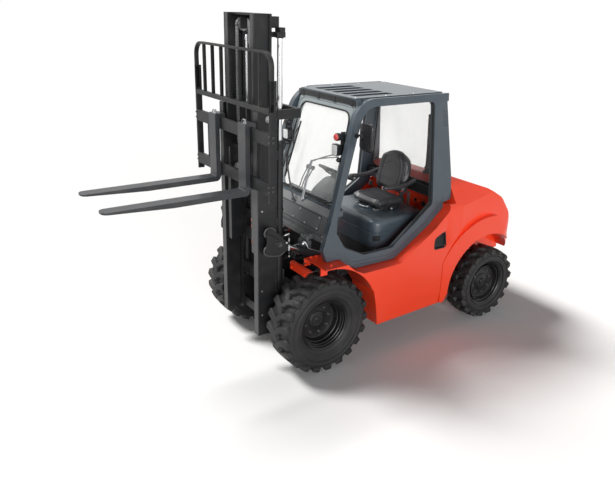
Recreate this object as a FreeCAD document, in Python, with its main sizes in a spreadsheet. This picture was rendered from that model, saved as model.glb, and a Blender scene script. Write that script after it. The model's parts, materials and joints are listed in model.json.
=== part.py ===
"""Rough terrain forklift with a two-stage mast, as a parametric document.

Millimetres. +X points forward to the fork tips, +Y to the driver's left, +Z up. The outlines below are
measured from the front axle's centre line and the ground; each sub-part's Placement then shifts it, so
that the finished part stands centred on its origin.
"""
import FreeCAD, Part
import math
import os
import re
import Sketcher
from FreeCAD import Placement, Rotation, Vector

SIZES = [
    # running gear
    ("wheelbase", 2130), ("front_tyre_radius", 467), ("front_tyre_width", 330), ("front_wheel_outer", 775),
    ("rear_tyre_radius", 396), ("rear_tyre_width", 264), ("rear_wheel_outer", 779), ("rim_radius", 232),
    ("lug_height", 34), ("lug_skew", 34), ("front_lug_count", 22), ("rear_lug_count", 20),
    ("rim_thickness", 14), ("bead_clearance", 0.3), ("hub_radius", 96), ("hub_clearance", 0.06),
    ("spindle_radius", 50), ("axle_tube_radius", 82), ("differential_radius", 170),
    ("axle_flange_radius", 118), ("axle_flange_thickness", 30),
    ("kingpin_radius", 26), ("kingpin_y", 585), ("kingpin_length", 250), ("knuckle_height", 150),
    ("rear_beam_height", 130), ("rear_beam_depth", 130), ("pin_clearance", 0.05), ("face_clearance", 0.5),
    # body shell
    ("front_arch_radius", 562), ("rear_arch_radius", 556), ("panel_front_y", 771), ("panel_rear_y", 704),
    ("fender_top", 1036), ("fender_front", -15), ("fender_inner_y", 430), ("fender_plate", 8),
    ("sill_bottom", 312), ("skirt_front", -607), ("skirt_rear", -1461), ("frame_half_width", 236),
    ("split_front_x", -1492), ("split_top_z", 1372), ("split_rear_x", -1692), ("split_low_z", 985),
    ("rear_end", -2640), ("weight_low", 470), ("weight_side_low", 690), ("weight_top", 1606),
    ("weight_corner_y", 610), ("flare_radius", 760), ("flare_y", 724), ("panel_gap", 4),
    ("front_bar_x", 150), ("front_bar_depth", 22), ("front_bar_low", 926), ("front_bar_high", 1000),
    # cab
    ("cab_bottom_y", 640), ("cab_lean", 5), ("lean_gap", 7), ("cab_tube", 60), ("roof_z", 2440),
    ("roof_front", -447), ("roof_rear", -1524), ("roof_plate", 14), ("roof_half_width", 430), ("roof_slot_width", 96),
    ("roof_slot_pitch", 142), ("roof_slot_length", 450), ("screen_low_x", -224), ("screen_low_z", 1490),
    ("screen_lean", 15), ("screen_height", 920), ("screen_low_half", 528.7), ("screen_top_half", 450.7),
    ("screen_border", 62), ("screen_thickness", 26), ("glass_thickness", 6), ("rear_beam_low", 1408),
    ("rear_beam_top", 1508), ("floor_z", 760), ("floor_thickness", 12),
    ("steer_x", -590), ("steer_z", 1640), ("steer_lean", 27),
    ("hood_half_width", 446), ("hood_front", -756), ("hood_rear", -1428), ("hood_low", 968),
    ("hood_top", 1246), ("hood_wall", 12), ("cowl_half_width", 530), ("cowl_face_x", -100),
    ("cowl_low", 1165), ("cowl_wall", 8),
    # mast
    ("outer_front", 480), ("outer_rear", 290), ("outer_half_width", 344), ("outer_flange", 22),
    ("outer_web", 20), ("outer_lip_y", 270), ("outer_low", 312), ("outer_top", 2375),
    ("inner_front", 460), ("inner_rear", 298), ("inner_half_width", 262), ("inner_flange", 20),
    ("inner_web_low", 222), ("inner_web_high", 242), ("inner_lip_y", 192), ("inner_low", 1095),
    ("inner_top", 3128), ("lift_y", 291), ("lift_x", 238), ("lift_barrel_radius", 37),
    ("lift_rod_radius", 24), ("lift_barrel_low", 665), ("lift_barrel_top", 2106),
    ("lift_rod_top", 2950), ("lift_rod_length", 1480), ("rod_clearance", 0.5),
    ("pulley_x", 357), ("pulley_z", 3030), ("pulley_radius", 48), ("pulley_y", 118), ("pulley_width", 34),
    ("chain_width", 24), ("chain_thickness", 14),
    # carriage and forks
    ("bar_front", 560), ("bar_thickness", 30), ("carriage_half_width", 657), ("lower_bar_low", 1757),
    ("lower_bar_high", 1857), ("upper_bar_low", 2160), ("upper_bar_high", 2260), ("side_plate_y", 172),
    ("side_plate_thickness", 20), ("backrest_top", 2875), ("backrest_low", 2312), ("backrest_bar", 20),
    ("fork_length", 1200), ("fork_width", 125), ("fork_thickness", 45), ("blade_top", 1730),
    ("fork_left_y", 300), ("fork_right_y", -246), ("fork_hook_top", 2292),
    # tilt cylinders
    ("tilt_y", 388), ("tilt_base_x", -262), ("tilt_base_z", 962), ("tilt_eye_x", 306),
    ("tilt_eye_z", 1216), ("tilt_barrel_radius", 36), ("tilt_rod_radius", 20), ("tilt_pin_radius", 16),
    ("tilt_barrel_length", 400), ("tilt_neck", 66), ("tilt_eye_radius", 34), ("tilt_eye_width", 40),
]
VALUES = dict(SIZES)
SHIFT = "((-rear_end) - (bar_front + fork_thickness + fork_length)) / 2"

doc = FreeCAD.newDocument("rough_terrain_forklift")
sheet = doc.addObject("Spreadsheet::Sheet", "Sizes")
for row, (alias, value) in enumerate(SIZES, 1):
    sheet.set("A%d" % row, alias)
    sheet.set("B%d" % row, str(value))
    sheet.setAlias("B%d" % row, alias)
doc.recompute()

WORD = re.compile(r"\b(" + "|".join(sorted(VALUES, key=len, reverse=True)) + r")\b")
NODES = []


def full(text):
    """The expression with each alias named through the sheet."""
    return WORD.sub(r"Sizes.\1", str(text))


def bind(item, prop, text):
    item.setExpression(prop, full(text))


def number(text):
    """The present value of an expression on the sheet."""
    return float(sheet.evalExpression(full(text)))


def neg(text):
    return "-(%s)" % text


# ---------------------------------------------------------------- building blocks
def block(name, x, y, z):
    """A box between a low and a high value along each axis."""
    item = doc.addObject("Part::Box", name)
    for (low, high), side, axis in zip((x, y, z), ("Length", "Width", "Height"), "xyz"):
        bind(item, side, "(%s) - (%s)" % (high, low))
        bind(item, "Placement.Base.%s" % axis, low)
    return item


TURN = {"x": Rotation(Vector(0, 1, 0), 90), "y": Rotation(Vector(1, 0, 0), -90), "z": Rotation()}


def rod(name, axis, centre, radius, low, high):
    """A round bar along an axis; centre gives its other two coordinates in x, y, z order."""
    item = doc.addObject("Part::Cylinder", name)
    item.Placement = Placement(Vector(), TURN[axis])
    bind(item, "Radius", radius)
    bind(item, "Height", "(%s) - (%s)" % (high, low))
    spots = iter(centre)
    for letter in "xyz":
        bind(item, "Placement.Base.%s" % letter, low if letter == axis else next(spots))
    return item


def fuse(name, parts):
    item = doc.addObject("Part::MultiFuse", name)
    item.Shapes = parts
    return item


def cut(name, base, tools):
    item = doc.addObject("Part::Cut", name)
    item.Base = base
    item.Tool = tools[0] if len(tools) == 1 else fuse(name + "_tools", tools)
    return item


def common(name, parts):
    item = doc.addObject("Part::MultiCommon", name)
    item.Shapes = parts
    return item


def mirror(name, source):
    """The same piece on the other side of the middle plane."""
    item = doc.addObject("Part::Mirroring", name)
    item.Source = source
    item.Normal = (0, 1, 0)
    return item


def both(name, source):
    return fuse(name, [source, mirror(name + "_other", source)])


def draw(sketch, points):
    """A closed outline of straight edges, each corner held at its two values."""
    spots = [Vector(number(point[0]), number(point[1]), 0) for point in points]
    count = len(spots)
    lines = [sketch.addGeometry(Part.LineSegment(spots[i], spots[(i + 1) % count]), False)
             for i in range(count)]
    for i, point in enumerate(points):
        sketch.addConstraint(Sketcher.Constraint("Coincident", lines[i - 1], 2, lines[i], 1))
        pin(sketch, lines[i], 1, point)


SEEN = {"XY_Plane": ("x", "y"), "XZ_Plane": ("x", "z"), "YZ_Plane": ("y", "z")}


def round_corners(body, feature, role, points):
    """Fillets the edges that stand on the outline's corners; the third value is the radius."""
    feature.recompute()
    for radius in dict.fromkeys(point[2] for point in points if len(point) > 2):
        spots = [(number(p[0]), number(p[1])) for p in points if len(p) > 2 and p[2] == radius]
        names = []
        for i, edge in enumerate(feature.Shape.Edges, 1):
            ends = [tuple(getattr(v.Point, letter) for letter in SEEN[role]) for v in edge.Vertexes]
            if len(ends) == 2 and any(max(math.dist(end, spot) for end in ends) < 0.01 for spot in spots):
                names.append("Edge%d" % i)
        fillet = body.newObject("PartDesign::Fillet", "%s_round%d" % (body.Name, len(body.Group)))
        fillet.Base = (feature, names)
        bind(fillet, "Radius", radius)
        fillet.recompute()
        feature = fillet


def pin(sketch, geometry, end, point):
    for kind, text in (("DistanceX", point[0]), ("DistanceY", point[1])):
        value = number(text)
        index = sketch.addConstraint(Sketcher.Constraint(kind, -1, 1, geometry, end, value))
        bind(sketch, "Constraints[%d]" % index, text)


def sketch_on(body, role, name):
    plane = [item for item in body.Origin.OriginFeatures if item.Role == role][0]
    sketch = body.newObject("Sketcher::SketchObject", name)
    sketch.AttachmentSupport = [(plane, "")]
    sketch.MapMode = "FlatFace"
    return sketch


def slab(name, role, outline, low, high, holes=()):
    """An outline on an origin plane, carried from low to high along that plane's axis."""
    body = doc.addObject("PartDesign::Body", name)
    sketch = sketch_on(body, role, name + "_outline")
    bind(sketch, "AttachmentOffset.Base.z", neg(high) if role == "XZ_Plane" else low)
    for points in (outline,) + tuple(holes):
        draw(sketch, points)
    pad = body.newObject("PartDesign::Pad", name + "_pad")
    pad.Profile = sketch
    bind(pad, "Length", "(%s) - (%s)" % (high, low))
    corners = [point for points in (outline,) + tuple(holes) for point in points]
    if any(len(point) > 2 for point in corners):
        sketch.recompute()
        round_corners(body, pad, role, corners)
    return body


def turned(name, outline):
    """A profile of (radius, side) points turned about the Y axis."""
    body = doc.addObject("PartDesign::Body", name)
    sketch = sketch_on(body, "XY_Plane", name + "_section")
    draw(sketch, outline)
    spin = body.newObject("PartDesign::Revolution", name + "_turn")
    spin.Profile = sketch
    spin.ReferenceAxis = (sketch, ["V_Axis"])
    spin.Angle = 360
    return body


def rect(a, b, r=None):
    """Four corners between low and high values, rounded by r where it is given."""
    tail = () if r is None else (r,)
    return [(a[0], b[0]) + tail, (a[1], b[0]) + tail, (a[1], b[1]) + tail, (a[0], b[1]) + tail]


def node(item, label, x="0", y="0", z="0"):
    """Names a finished sub-part and puts it in the part's frame."""
    item.Label = label
    own = {"x": x, "y": y, "z": z}
    if item.TypeId in ("Part::Box", "Part::Cylinder"):
        own = {path.split(".")[-1]: text for path, text in item.ExpressionEngine if "Base" in path}
    for letter in "xyz":
        text = "%s + (%s)" % (SHIFT, own[letter]) if letter == "x" else own[letter]
        bind(item, "Placement.Base.%s" % letter, text.replace("Sizes.", ""))
    NODES.append(item)
    return item


def place_other(item, label):
    """Names the mirror image of a piece that is already in its place."""
    item.Label = label
    NODES.append(item)
    return item


# ---------------------------------------------------------------- running gear
def tyre(name, radius, width, count):
    """A ring with deep hooked lugs in two staggered rows, turned about Y at the origin."""
    body = turned(name, [
        ("rim_radius + bead_clearance", "-0.34 * %s" % width), ("rim_radius + 26", "-0.34 * %s" % width),
        ("%s * 0.72" % radius, "-0.5 * %s" % width), ("%s - lug_height - 20" % radius, "-0.48 * %s" % width),
        ("%s - lug_height" % radius, "-0.38 * %s" % width), ("%s - lug_height" % radius, "0.38 * %s" % width),
        ("%s - lug_height - 20" % radius, "0.48 * %s" % width), ("%s * 0.72" % radius, "0.5 * %s" % width),
        ("rim_radius + 26", "0.34 * %s" % width), ("rim_radius + bead_clearance", "0.34 * %s" % width)])
    pads = []
    for side, lead in ((1, "0"), (-1, "0.5")):
        sketch = sketch_on(body, "YZ_Plane", "%s_lug%d" % (name, side + 2))
        root = "(%s - lug_height - 10)" % radius
        turn = "(%s * 360 / %s)" % (lead, count)
        sketch.AttachmentOffset = Placement(Vector(), Rotation(Vector(1, 0, 0), 10))
        sketch.setExpression("AttachmentOffset.Rotation.Angle", full("%s * 1deg" % turn))
        bind(sketch, "AttachmentOffset.Base.y", "-%s * sin(%s)" % (root, turn))
        bind(sketch, "AttachmentOffset.Base.z", "%s * cos(%s)" % (root, turn))
        half = "%d * %s" % (side, width)
        draw(sketch, [("-0.03 * %s" % half, "lug_skew * -1.1"), ("0.17 * %s" % half, "lug_skew * -1.1"),
                      ("0.485 * %s" % half, "lug_skew * 0.2"), ("0.485 * %s" % half, "lug_skew * 1.1"),
                      ("0.13 * %s" % half, "lug_skew * -0.05"), ("-0.03 * %s" % half, "lug_skew * -0.05")])
        pad = body.newObject("PartDesign::Pad", "%s_lug_pad%d" % (name, side + 2))
        pad.Profile = sketch
        bind(pad, "Length", "sqrt(pow(%s; 2) - pow(1.1 * lug_skew; 2)) - %s" % (radius, root))
        pads.append(pad)
    pattern = body.newObject("PartDesign::PolarPattern", name + "_lugs")
    pattern.Originals = pads
    pattern.Axis = (body.Origin.OriginFeatures[1], [""])
    pattern.Angle = 360
    bind(pattern, "Occurrences", count)
    body.Tip = pattern
    return body


def rim(name, width, hub_back, disc):
    """A deep-dished steel wheel with its hub, bored for the spindle from the inner side."""
    edge = "0.4 * %s" % width
    seat = "0.4 * %s - rim_thickness" % width
    deep = "rim_radius - rim_thickness"
    return turned(name, [
        ("spindle_radius + hub_clearance", hub_back), ("hub_radius", hub_back), ("hub_radius", disc),
        (deep, disc), (deep, neg(edge)), ("rim_radius + 20", neg(edge)), ("rim_radius + 20", neg(seat)),
        ("rim_radius", neg(seat)), ("rim_radius", seat), ("rim_radius + 20", seat),
        ("rim_radius + 20", edge), (deep, edge), (deep, "%s + rim_thickness" % disc),
        ("hub_radius", "%s + rim_thickness" % disc), ("hub_radius - 10", "%s + 60" % disc),
        ("hub_radius * 0.6", "%s + 60" % disc), ("hub_radius * 0.55", "%s + 82" % disc),
        ("0", "%s + 82" % disc), ("0", "%s + 40" % disc),
        ("spindle_radius + hub_clearance", "%s + 40" % disc)])


def wheels():
    """Tyre and rim at each corner; the right-hand ones are the left ones' mirror images."""
    corners = (("front", "front_tyre_radius", "front_tyre_width", "front_lug_count", "front_wheel_outer",
                "0", "-0.16 * front_tyre_width", "-0.1 * front_tyre_width"),
               ("rear", "rear_tyre_radius", "rear_tyre_width", "rear_lug_count", "rear_wheel_outer",
                "-wheelbase", "4", "18"))
    for end, radius, width, count, outer, x, back, disc in corners:
        for kind, left in (("tyre", tyre("tyre_%s_left" % end, radius, width, count)),
                           ("rim", rim("rim_%s_left" % end, width, back, disc))):
            right = mirror("%s_%s_right" % (kind, end), left)
            node(left, "%s_%s_left" % (kind, end), x, "%s - %s / 2" % (outer, width), radius)
            place_other(right, "%s_%s_right" % (kind, end))


def front_axle():
    """Drive axle: tube, differential and brake flanges with a spindle into each hub."""
    hub = "front_wheel_outer - front_tyre_width / 2 - 0.16 * front_tyre_width"
    end = "%s - face_clearance" % hub
    z = "front_tyre_radius"
    parts = [rod("axle_tube", "y", ("0", z), "axle_tube_radius", neg(end), end),
             rod("differential", "y", ("0", z), "differential_radius", "-92", "92"),
             rod("pinion_case", "x", ("0", z), "88", "-330", "0")]
    for side in (1, -1):
        low, high = "%s - axle_flange_thickness" % end, end
        tip = "%s + 0.06 * front_tyre_width + 34" % hub
        if side < 0:
            low, high, tip = neg(high), neg(low), neg(tip)
        parts.append(rod("brake_flange%d" % (side + 2), "y", ("0", z), "axle_flange_radius", low, high))
        first, last = (end, tip) if side > 0 else (tip, neg(end))
        parts.append(rod("spindle%d" % (side + 2), "y", ("0", z), "spindle_radius", first, last))
    return node(fuse("front_axle", parts), "front_axle")


def rear_axle():
    """Steering axle beam on a centre trunnion, with a forked end and kingpin at each side."""
    z, x = "rear_tyre_radius", "-wheelbase"
    reach = "kingpin_y - 70"
    half, deep = "rear_beam_height / 2", "rear_beam_depth / 2"
    arm = "knuckle_height / 2 + 5"
    parts = [block("beam", ("%s - %s" % (x, deep), "%s + %s" % (x, deep)), (neg(reach), reach),
                   ("%s - %s" % (z, half), "%s + %s" % (z, half))),
             rod("trunnion", "x", ("0", z), "50", "%s - 150" % x, "%s + 150" % x)]
    left = [block("yoke_back", ("%s - 45" % x, "%s + 45" % x), ("%s - 40" % reach, "%s + 4" % reach),
                  ("%s - (%s) - 22" % (z, arm), "%s + %s + 22" % (z, arm)))]
    for name, low, high in (("yoke_low", "%s - (%s) - 22" % (z, arm), "%s - (%s)" % (z, arm)),
                            ("yoke_high", "%s + %s" % (z, arm), "%s + %s + 22" % (z, arm))):
        left.append(block(name, ("%s - 45" % x, "%s + 45" % x), (reach, "kingpin_y + 38"), (low, high)))
    left.append(rod("kingpin", "z", (x, "kingpin_y"), "kingpin_radius",
                    "%s - kingpin_length / 2" % z, "%s + kingpin_length / 2" % z))
    return node(fuse("rear_axle", parts + [both("yokes", fuse("yoke", left))]), "rear_axle")


def knuckles():
    """Steering knuckle: a bored housing on the kingpin with the rear wheel's spindle."""
    z, x = "rear_tyre_radius", "-wheelbase"
    tip = "rear_wheel_outer - rear_tyre_width / 2 + 50"
    solid = fuse("knuckle_solid", [
        rod("knuckle_case", "z", (x, "kingpin_y"), "54", "%s - knuckle_height / 2" % z,
            "%s + knuckle_height / 2" % z),
        rod("knuckle_spindle", "y", (x, z), "spindle_radius", "kingpin_y + 20", tip),
        block("steering_arm", ("%s + 20" % x, "%s + 150" % x), ("kingpin_y - 10", "kingpin_y + 18"),
              ("%s - 60" % z, "%s - 36" % z))])
    bore = rod("kingpin_bore", "z", (x, "kingpin_y"), "kingpin_radius + pin_clearance",
               "%s - knuckle_height" % z, "%s + knuckle_height" % z)
    left = cut("knuckle_left", solid, [bore])
    right = mirror("knuckle_right", left)
    node(left, "knuckle_left")
    place_other(right, "knuckle_right")


# ---------------------------------------------------------------- chassis and shell
def main_frame():
    """Two side plates on the front axle, cross plates, and ears for the tilt cylinders."""
    outline = [("150", "440"), ("150", "620"), ("-20", "floor_z"), ("-1960", "floor_z"), ("-1960", "570"),
               ("-1700", "430"), ("-1480", "340"), ("-560", "340"), ("-420", "400")]
    side = slab("frame_side", "XZ_Plane", outline, "frame_half_width - 30", "frame_half_width")
    ear = [("-330", "floor_z"), ("-200", "floor_z"), ("tilt_base_x + 36", "tilt_base_z + 34", "30"),
           ("tilt_base_x - 36", "tilt_base_z + 34", "30")]
    gap = "tilt_eye_width / 2 + 2"
    ears = [slab("ear_in", "XZ_Plane", ear, "tilt_y - (%s) - 12" % gap, "tilt_y - (%s)" % gap),
            slab("ear_out", "XZ_Plane", ear, "tilt_y + %s" % gap, "tilt_y + %s + 12" % gap),
            block("ear_foot", ("-330", "-200"), ("frame_half_width - 30", "tilt_y + %s + 12" % gap),
                  ("floor_z - 30", "floor_z")),
            rod("tilt_base_pin", "y", ("tilt_base_x", "tilt_base_z"), "tilt_pin_radius",
                "tilt_y - (%s) - 12" % gap, "tilt_y + %s + 12" % gap)]
    cross = [block("cross%d" % i, (x, "%s + 24" % x), ("-frame_half_width + 15", "frame_half_width - 15"),
                   (low, high))
             for i, (x, low, high) in enumerate((("-420", "420", "floor_z"), ("-1500", "350", "480"),
                                                 ("-900", "350", "480"), ("-1900", "575", "floor_z")))]
    whole = fuse("frame_whole", [both("frame_sides", fuse("frame_left", [side] + ears))] + cross)
    saddle = rod("axle_saddle", "y", ("0", "front_tyre_radius"), "axle_tube_radius + 0.3", "-400", "400")
    return node(cut("main_frame", whole, [saddle]), "main_frame")


def engine_block():
    return node(block("engine_block", ("-1476", "-880"), ("-190", "190"), ("480", "940")), "engine_block")


SILL_LINE = [("-60", "fender_top"), ("-200", "fender_top", "30"), ("-292", "955"), ("-390", "911", "40"),
             ("-857", "911", "80"), ("-1110", "1056"), ("-1308", "1172"), ("split_front_x", "1318")]


def skirt_tuck():
    """The wedge taken off the skirt below its falling crease."""
    wedge = slab("skirt_tuck", "YZ_Plane", [("0", "0"), ("120", "0"), ("120", "-420"), ("-46", "-420")], "-40", "930")
    wedge.Placement = Placement(Vector(), Rotation(3.7, -10.6, 0))
    bind(wedge, "Placement.Base.x", "skirt_rear")
    bind(wedge, "Placement.Base.y", "panel_rear_y + 18")
    bind(wedge, "Placement.Base.z", "sill_bottom + 121")
    return wedge


def side_panels():
    """Front fender, tank side and skirt in one moulding at each side, cut round both wheels."""
    outline = [("48", "fender_top")] + SILL_LINE + [
        ("split_front_x", "split_top_z"), ("split_rear_x", "split_low_z"), ("split_rear_x", "sill_bottom"),
        ("skirt_front", "sill_bottom"), ("-520", "fender_top - 330"),
        ("48", "fender_top - 50")]
    plan = [("200", "fender_inner_y"), ("200", "panel_front_y"), ("-700", "panel_front_y"),
            ("split_rear_x - 40", "panel_rear_y"), ("split_rear_x - 40", "565"), ("-700", "565"),
            ("-620", "fender_inner_y")]
    hull = common("panel_hull", [slab("panel_side", "XZ_Plane", outline, "400", "800"),
                                 slab("panel_plan", "XY_Plane", plan, "300", "1400")])
    edge = fuse("fender_edges", [
        block("front_bar", ("front_bar_x - front_bar_depth", "front_bar_x"), ("352", "705"),
              ("front_bar_low", "front_bar_high")),
        block("outer_strip", ("-20", "front_bar_x"), ("690", "705"), ("front_bar_low + 30", "fender_top")),
        block("inner_strip", ("-20", "front_bar_x"), ("fender_inner_y", "fender_inner_y + 12"),
              ("front_bar_low + 30", "fender_top"))])
    well = [rod("front_arch", "y", ("0", "front_tyre_radius"), "front_arch_radius", "340", "820"),
            common("flare_seat", [
                rod("flare_arch", "y", ("-wheelbase", "rear_tyre_radius"), "flare_radius + panel_gap", "340", "820"),
                block("flare_reach", ("rear_end", "skirt_rear"), ("340", "820"), ("200", "1300"))]),
            skirt_tuck(),
            slab("vent", "XZ_Plane", [("-1306", "1060"), ("-1449", "1117"), ("-1485", "939"), ("-1305", "944")],
                 "680", "800")]
    left = fuse("panel_left", [cut("panel_cut", hull, well), edge])
    return node(both("side_panels", left), "side_panels")


def counterweight():
    """Rear casting over the steering axle: domed top, deep wheel wells and the trunnion cradle."""
    outline = [("split_front_x", "split_top_z"), ("-1500", "weight_top", "30"), ("-1660", "weight_top", "160"),
               ("-2120", "1442", "300"), ("-2360", "1310", "260"), ("-2520", "1120", "260"),
               ("-2596", "960", "200"), ("rear_end", "836", "60"),
               ("rear_end", "weight_side_low"), ("-2400", "weight_low"), ("-1700", "weight_low"),
               ("split_rear_x", "split_low_z")]
    above = [("-1380", "-panel_rear_y - 16"), ("-1380", "panel_rear_y + 16"), ("-1700", "panel_rear_y - 4"),
             ("rear_end", "weight_corner_y", "150"), ("rear_end", "-weight_corner_y", "150"),
             ("-1700", "-panel_rear_y + 4")]
    across = [("-flare_y", "400"), ("flare_y", "400"), ("flare_y", "1240"), ("panel_rear_y - 4", "1330", "120"),
              ("560", "1540", "200"), ("400", "weight_top + 20"), ("-400", "weight_top + 20"),
              ("-560", "1540", "200"), ("-panel_rear_y + 4", "1330", "120"), ("-flare_y", "1240")]
    mass = common("weight_mass", [slab("weight_side", "XZ_Plane", outline, "-flare_y", "flare_y"),
                                  slab("weight_plan", "XY_Plane", above, "400", "1700"),
                                  slab("weight_across", "YZ_Plane", across, "rear_end - 1", "-1380")])
    zone = [("skirt_rear - panel_gap", "sill_bottom", "20"), ("skirt_rear - panel_gap", "1200"), ("-2180", "1200"),
            ("-2420", "930", "120"), ("-2570", "weight_side_low"), ("-2500", "500"), ("-1620", "500"),
            ("-1575", "395", "30"), ("-1520", "sill_bottom", "40")]
    brim = [("-1380", "-flare_y"), ("-1380", "flare_y"), ("-2370", "flare_y", "120"),
            ("rear_end + 20", "weight_corner_y + 20", "120"), ("rear_end + 20", "-weight_corner_y - 20", "120"),
            ("-2370", "-flare_y", "120")]
    flare = common("weight_flare", [
        rod("flare_disc", "y", ("-wheelbase", "rear_tyre_radius"), "flare_radius", "-flare_y", "flare_y"),
        slab("flare_zone", "XZ_Plane", zone, "-flare_y - 1", "flare_y + 1"),
        slab("flare_brim", "XY_Plane", brim, "300", "1300")])
    hull = fuse("weight_hull", [mass, flare])
    wells = both("weight_wells", rod("rear_arch", "y", ("-wheelbase", "rear_tyre_radius"),
                                     "rear_arch_radius", "frame_half_width + 10", "820"))
    bays = [block("radiator_bay", ("-1960", "-1380"), ("-frame_half_width - 4", "frame_half_width + 4"),
                  ("400", "960")),
            block("upper_bay", ("-1960", "-1380"), ("-520", "520"), ("958", "1380")),
            block("sill_bay", ("-1640", "-1380"), ("-520", "520"), ("1379", "1520")),
            block("foot_gap", ("-1700", "-1380"), ("-565", "565"), ("300", "440")),
            block("floor_gap", ("-1482", "-1380"), ("-565", "565"), ("440", "1300")),
            block("axle_gap", ("-wheelbase - 125", "-wheelbase + 125"), ("-500", "500"), ("300", "510"))]
    cradle = [block("cradle%d" % i, (x, "%s + 24" % x), ("-110", "110"), ("330", "560"))
              for i, x in enumerate(("-wheelbase - 149", "-wheelbase + 125"))]
    trunnion = rod("cradle_bore", "x", ("0", "rear_tyre_radius"), "50.3", "-wheelbase - 200", "-wheelbase + 200")
    bays.append(both("post_notch", block("post_seat", ("-1612", "-1380"), ("505", "730"), ("1366", "1700"))))
    flat = cut("weight_shell", hull, [wells] + bays)
    return node(cut("counterweight", fuse("weight_all", [flat] + cradle), [trunnion]), "counterweight")


def floor_plate():
    """Cab floor with the front wall of the footwell and the tunnel under the hood."""
    top = "floor_z + floor_thickness"
    plan = [("-1476", "-560"), ("-705", "-560"), ("-705", "-426"), ("-352", "-426"), ("-352", "426"),
            ("-705", "426"), ("-705", "560"), ("-1476", "560")]
    parts = [slab("floor", "XY_Plane", plan, "floor_z", top),
             block("toe_wall", ("-352", "-340"), ("-426", "426"), ("floor_z", "1200"))]
    tunnel = cut("tunnel", block("tunnel_out", ("hood_rear", "hood_front"), ("-hood_half_width", "hood_half_width"),
                                 (top, "hood_low - face_clearance")),
                 [block("tunnel_in", ("hood_rear - 1", "hood_front - hood_wall"),
                        ("-hood_half_width + hood_wall", "hood_half_width - hood_wall"), ("floor_z", "hood_top"))])
    pit = block("engine_pit", ("-1500", "-860"), ("-205", "205"), ("floor_z - 5", "floor_z + 20"))
    return node(cut("floor_plate", fuse("floor_all", parts + [tunnel]), [pit]), "floor_plate")


# ---------------------------------------------------------------- cab
def lean(body):
    """Tips an upright side frame inward about its sill line."""
    body.Placement = Placement(Vector(), Rotation(Vector(1, 0, 0), 10))
    body.setExpression("Placement.Rotation.Angle", full("cab_lean * 1deg"))
    bind(body, "Placement.Base.y", "cab_bottom_y")
    bind(body, "Placement.Base.z", "1000")
    return body


def cab_frame():
    """Two bent side frames joined across the windscreen foot, both roof ends and the rear sill."""
    def raised(points):
        return [(p[0], "%s - 1000" % p[1]) + tuple(p[2:]) for p in points]
    sill = [(point[0], "%s + lean_gap" % point[1]) + point[2:] for point in SILL_LINE]
    outer = sill + [("split_front_x", "split_top_z + lean_gap"), ("-1604", "1395", "30"), ("-1594", "1650"),
                         ("-1505", "2370"), ("roof_rear", "2372"), ("roof_rear", "roof_z + 5"),
                         ("-425", "roof_z + 5", "260"), ("-341", "2159"), ("-239", "1821"), ("-119", "1411"),
                         ("-20", "1150", "60")]
    hole = [("-182", "1400"), ("-175", "1290"), ("-260", "1140", "70"), ("-480", "1030", "90"),
            ("-840", "1030", "90"), ("-1350", "1385", "60"), ("-1344", "2376", "50"),
            ("-505", "2376", "190"), ("-425", "2159"), ("-318", "1821")]
    side = lean(slab("side_frame", "XZ_Plane", raised(outer), "-cab_tube", "0", holes=(raised(hole),)))
    ends = [block("roof_front_beam", ("-600", "-530"), ("-500", "500"), ("2375", "roof_z - roof_plate")),
            block("roof_rear_beam", ("roof_rear", "-1440"), ("-500", "500"), ("2372", "roof_z - roof_plate")),
            block("rear_beam", ("-1496", "-1436"), ("-580", "580"), ("rear_beam_low", "rear_beam_top")),
            block("screen_foot", ("-262", "-200"), ("-580", "580"), ("1430", "screen_low_z - 7.3")),
            block("screen_header", ("-500", "-452"), ("-470", "470"),
                  ("screen_low_z + screen_height * cos(screen_lean * 1deg) + 0.6", "roof_z - roof_plate"))]
    return node(fuse("cab_frame", [both("side_frames", side)] + ends), "cab_frame")


def roof_panel():
    slots = tuple(rect(("roof_front - 90 - roof_slot_length", "roof_front - 90"),
                       ("%d * roof_slot_pitch - roof_slot_width / 2" % i, "%d * roof_slot_pitch + roof_slot_width / 2" % i),
                       "20") for i in (-2, -1, 0, 1, 2))
    outline = rect(("roof_rear", "roof_front"), ("-roof_half_width", "roof_half_width"), "12")
    return node(slab("roof_panel", "XY_Plane", outline, "roof_z - roof_plate", "roof_z", holes=slots),
                "roof_panel")


def tilted(body, x, z, angle):
    """Leans an upright YZ panel backwards about its foot."""
    body.Placement = Placement(Vector(), Rotation(Vector(0, 1, 0), -10))
    body.setExpression("Placement.Rotation.Angle", full("-(%s) * 1deg" % angle))
    bind(body, "Placement.Base.x", x)
    bind(body, "Placement.Base.z", z)
    return body


def trapezium(low_half, top_half, low, high, radius):
    return [(neg(low_half), low, radius), (low_half, low, radius), (top_half, high, radius),
            (neg(top_half), high, radius)]


def windshield():
    """Windscreen surround with its rounded opening, and the two panes of the cab."""
    outer = trapezium("screen_low_half", "screen_top_half", "0", "screen_height", "60")
    inner = trapezium("screen_low_half - screen_border * 1.9", "screen_top_half - screen_border", "screen_border",
                      "screen_height - screen_border", "80")
    frame = tilted(slab("windshield_frame", "YZ_Plane", outer, "-screen_thickness", "0", holes=(inner,)),
                   "screen_low_x", "screen_low_z", "screen_lean")
    node(frame, "windshield_frame", "screen_low_x", "0", "screen_low_z")
    pane = trapezium("screen_low_half - screen_border * 1.9 - 0.5", "screen_top_half - screen_border - 0.5",
                     "screen_border + 0.5", "screen_height - screen_border - 0.5", "79.5")
    front = tilted(slab("front_pane", "YZ_Plane", pane, "-16", "-16 + glass_thickness"),
                   "screen_low_x", "screen_low_z", "screen_lean")
    back = slab("rear_pane", "YZ_Plane", trapezium("516", "450", "rear_beam_top + 0.5", "2371.5", "20"),
                "-1486", "-1486 + glass_thickness")
    return node(fuse("cab_glass", [front, back]), "cab_glass")


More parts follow.
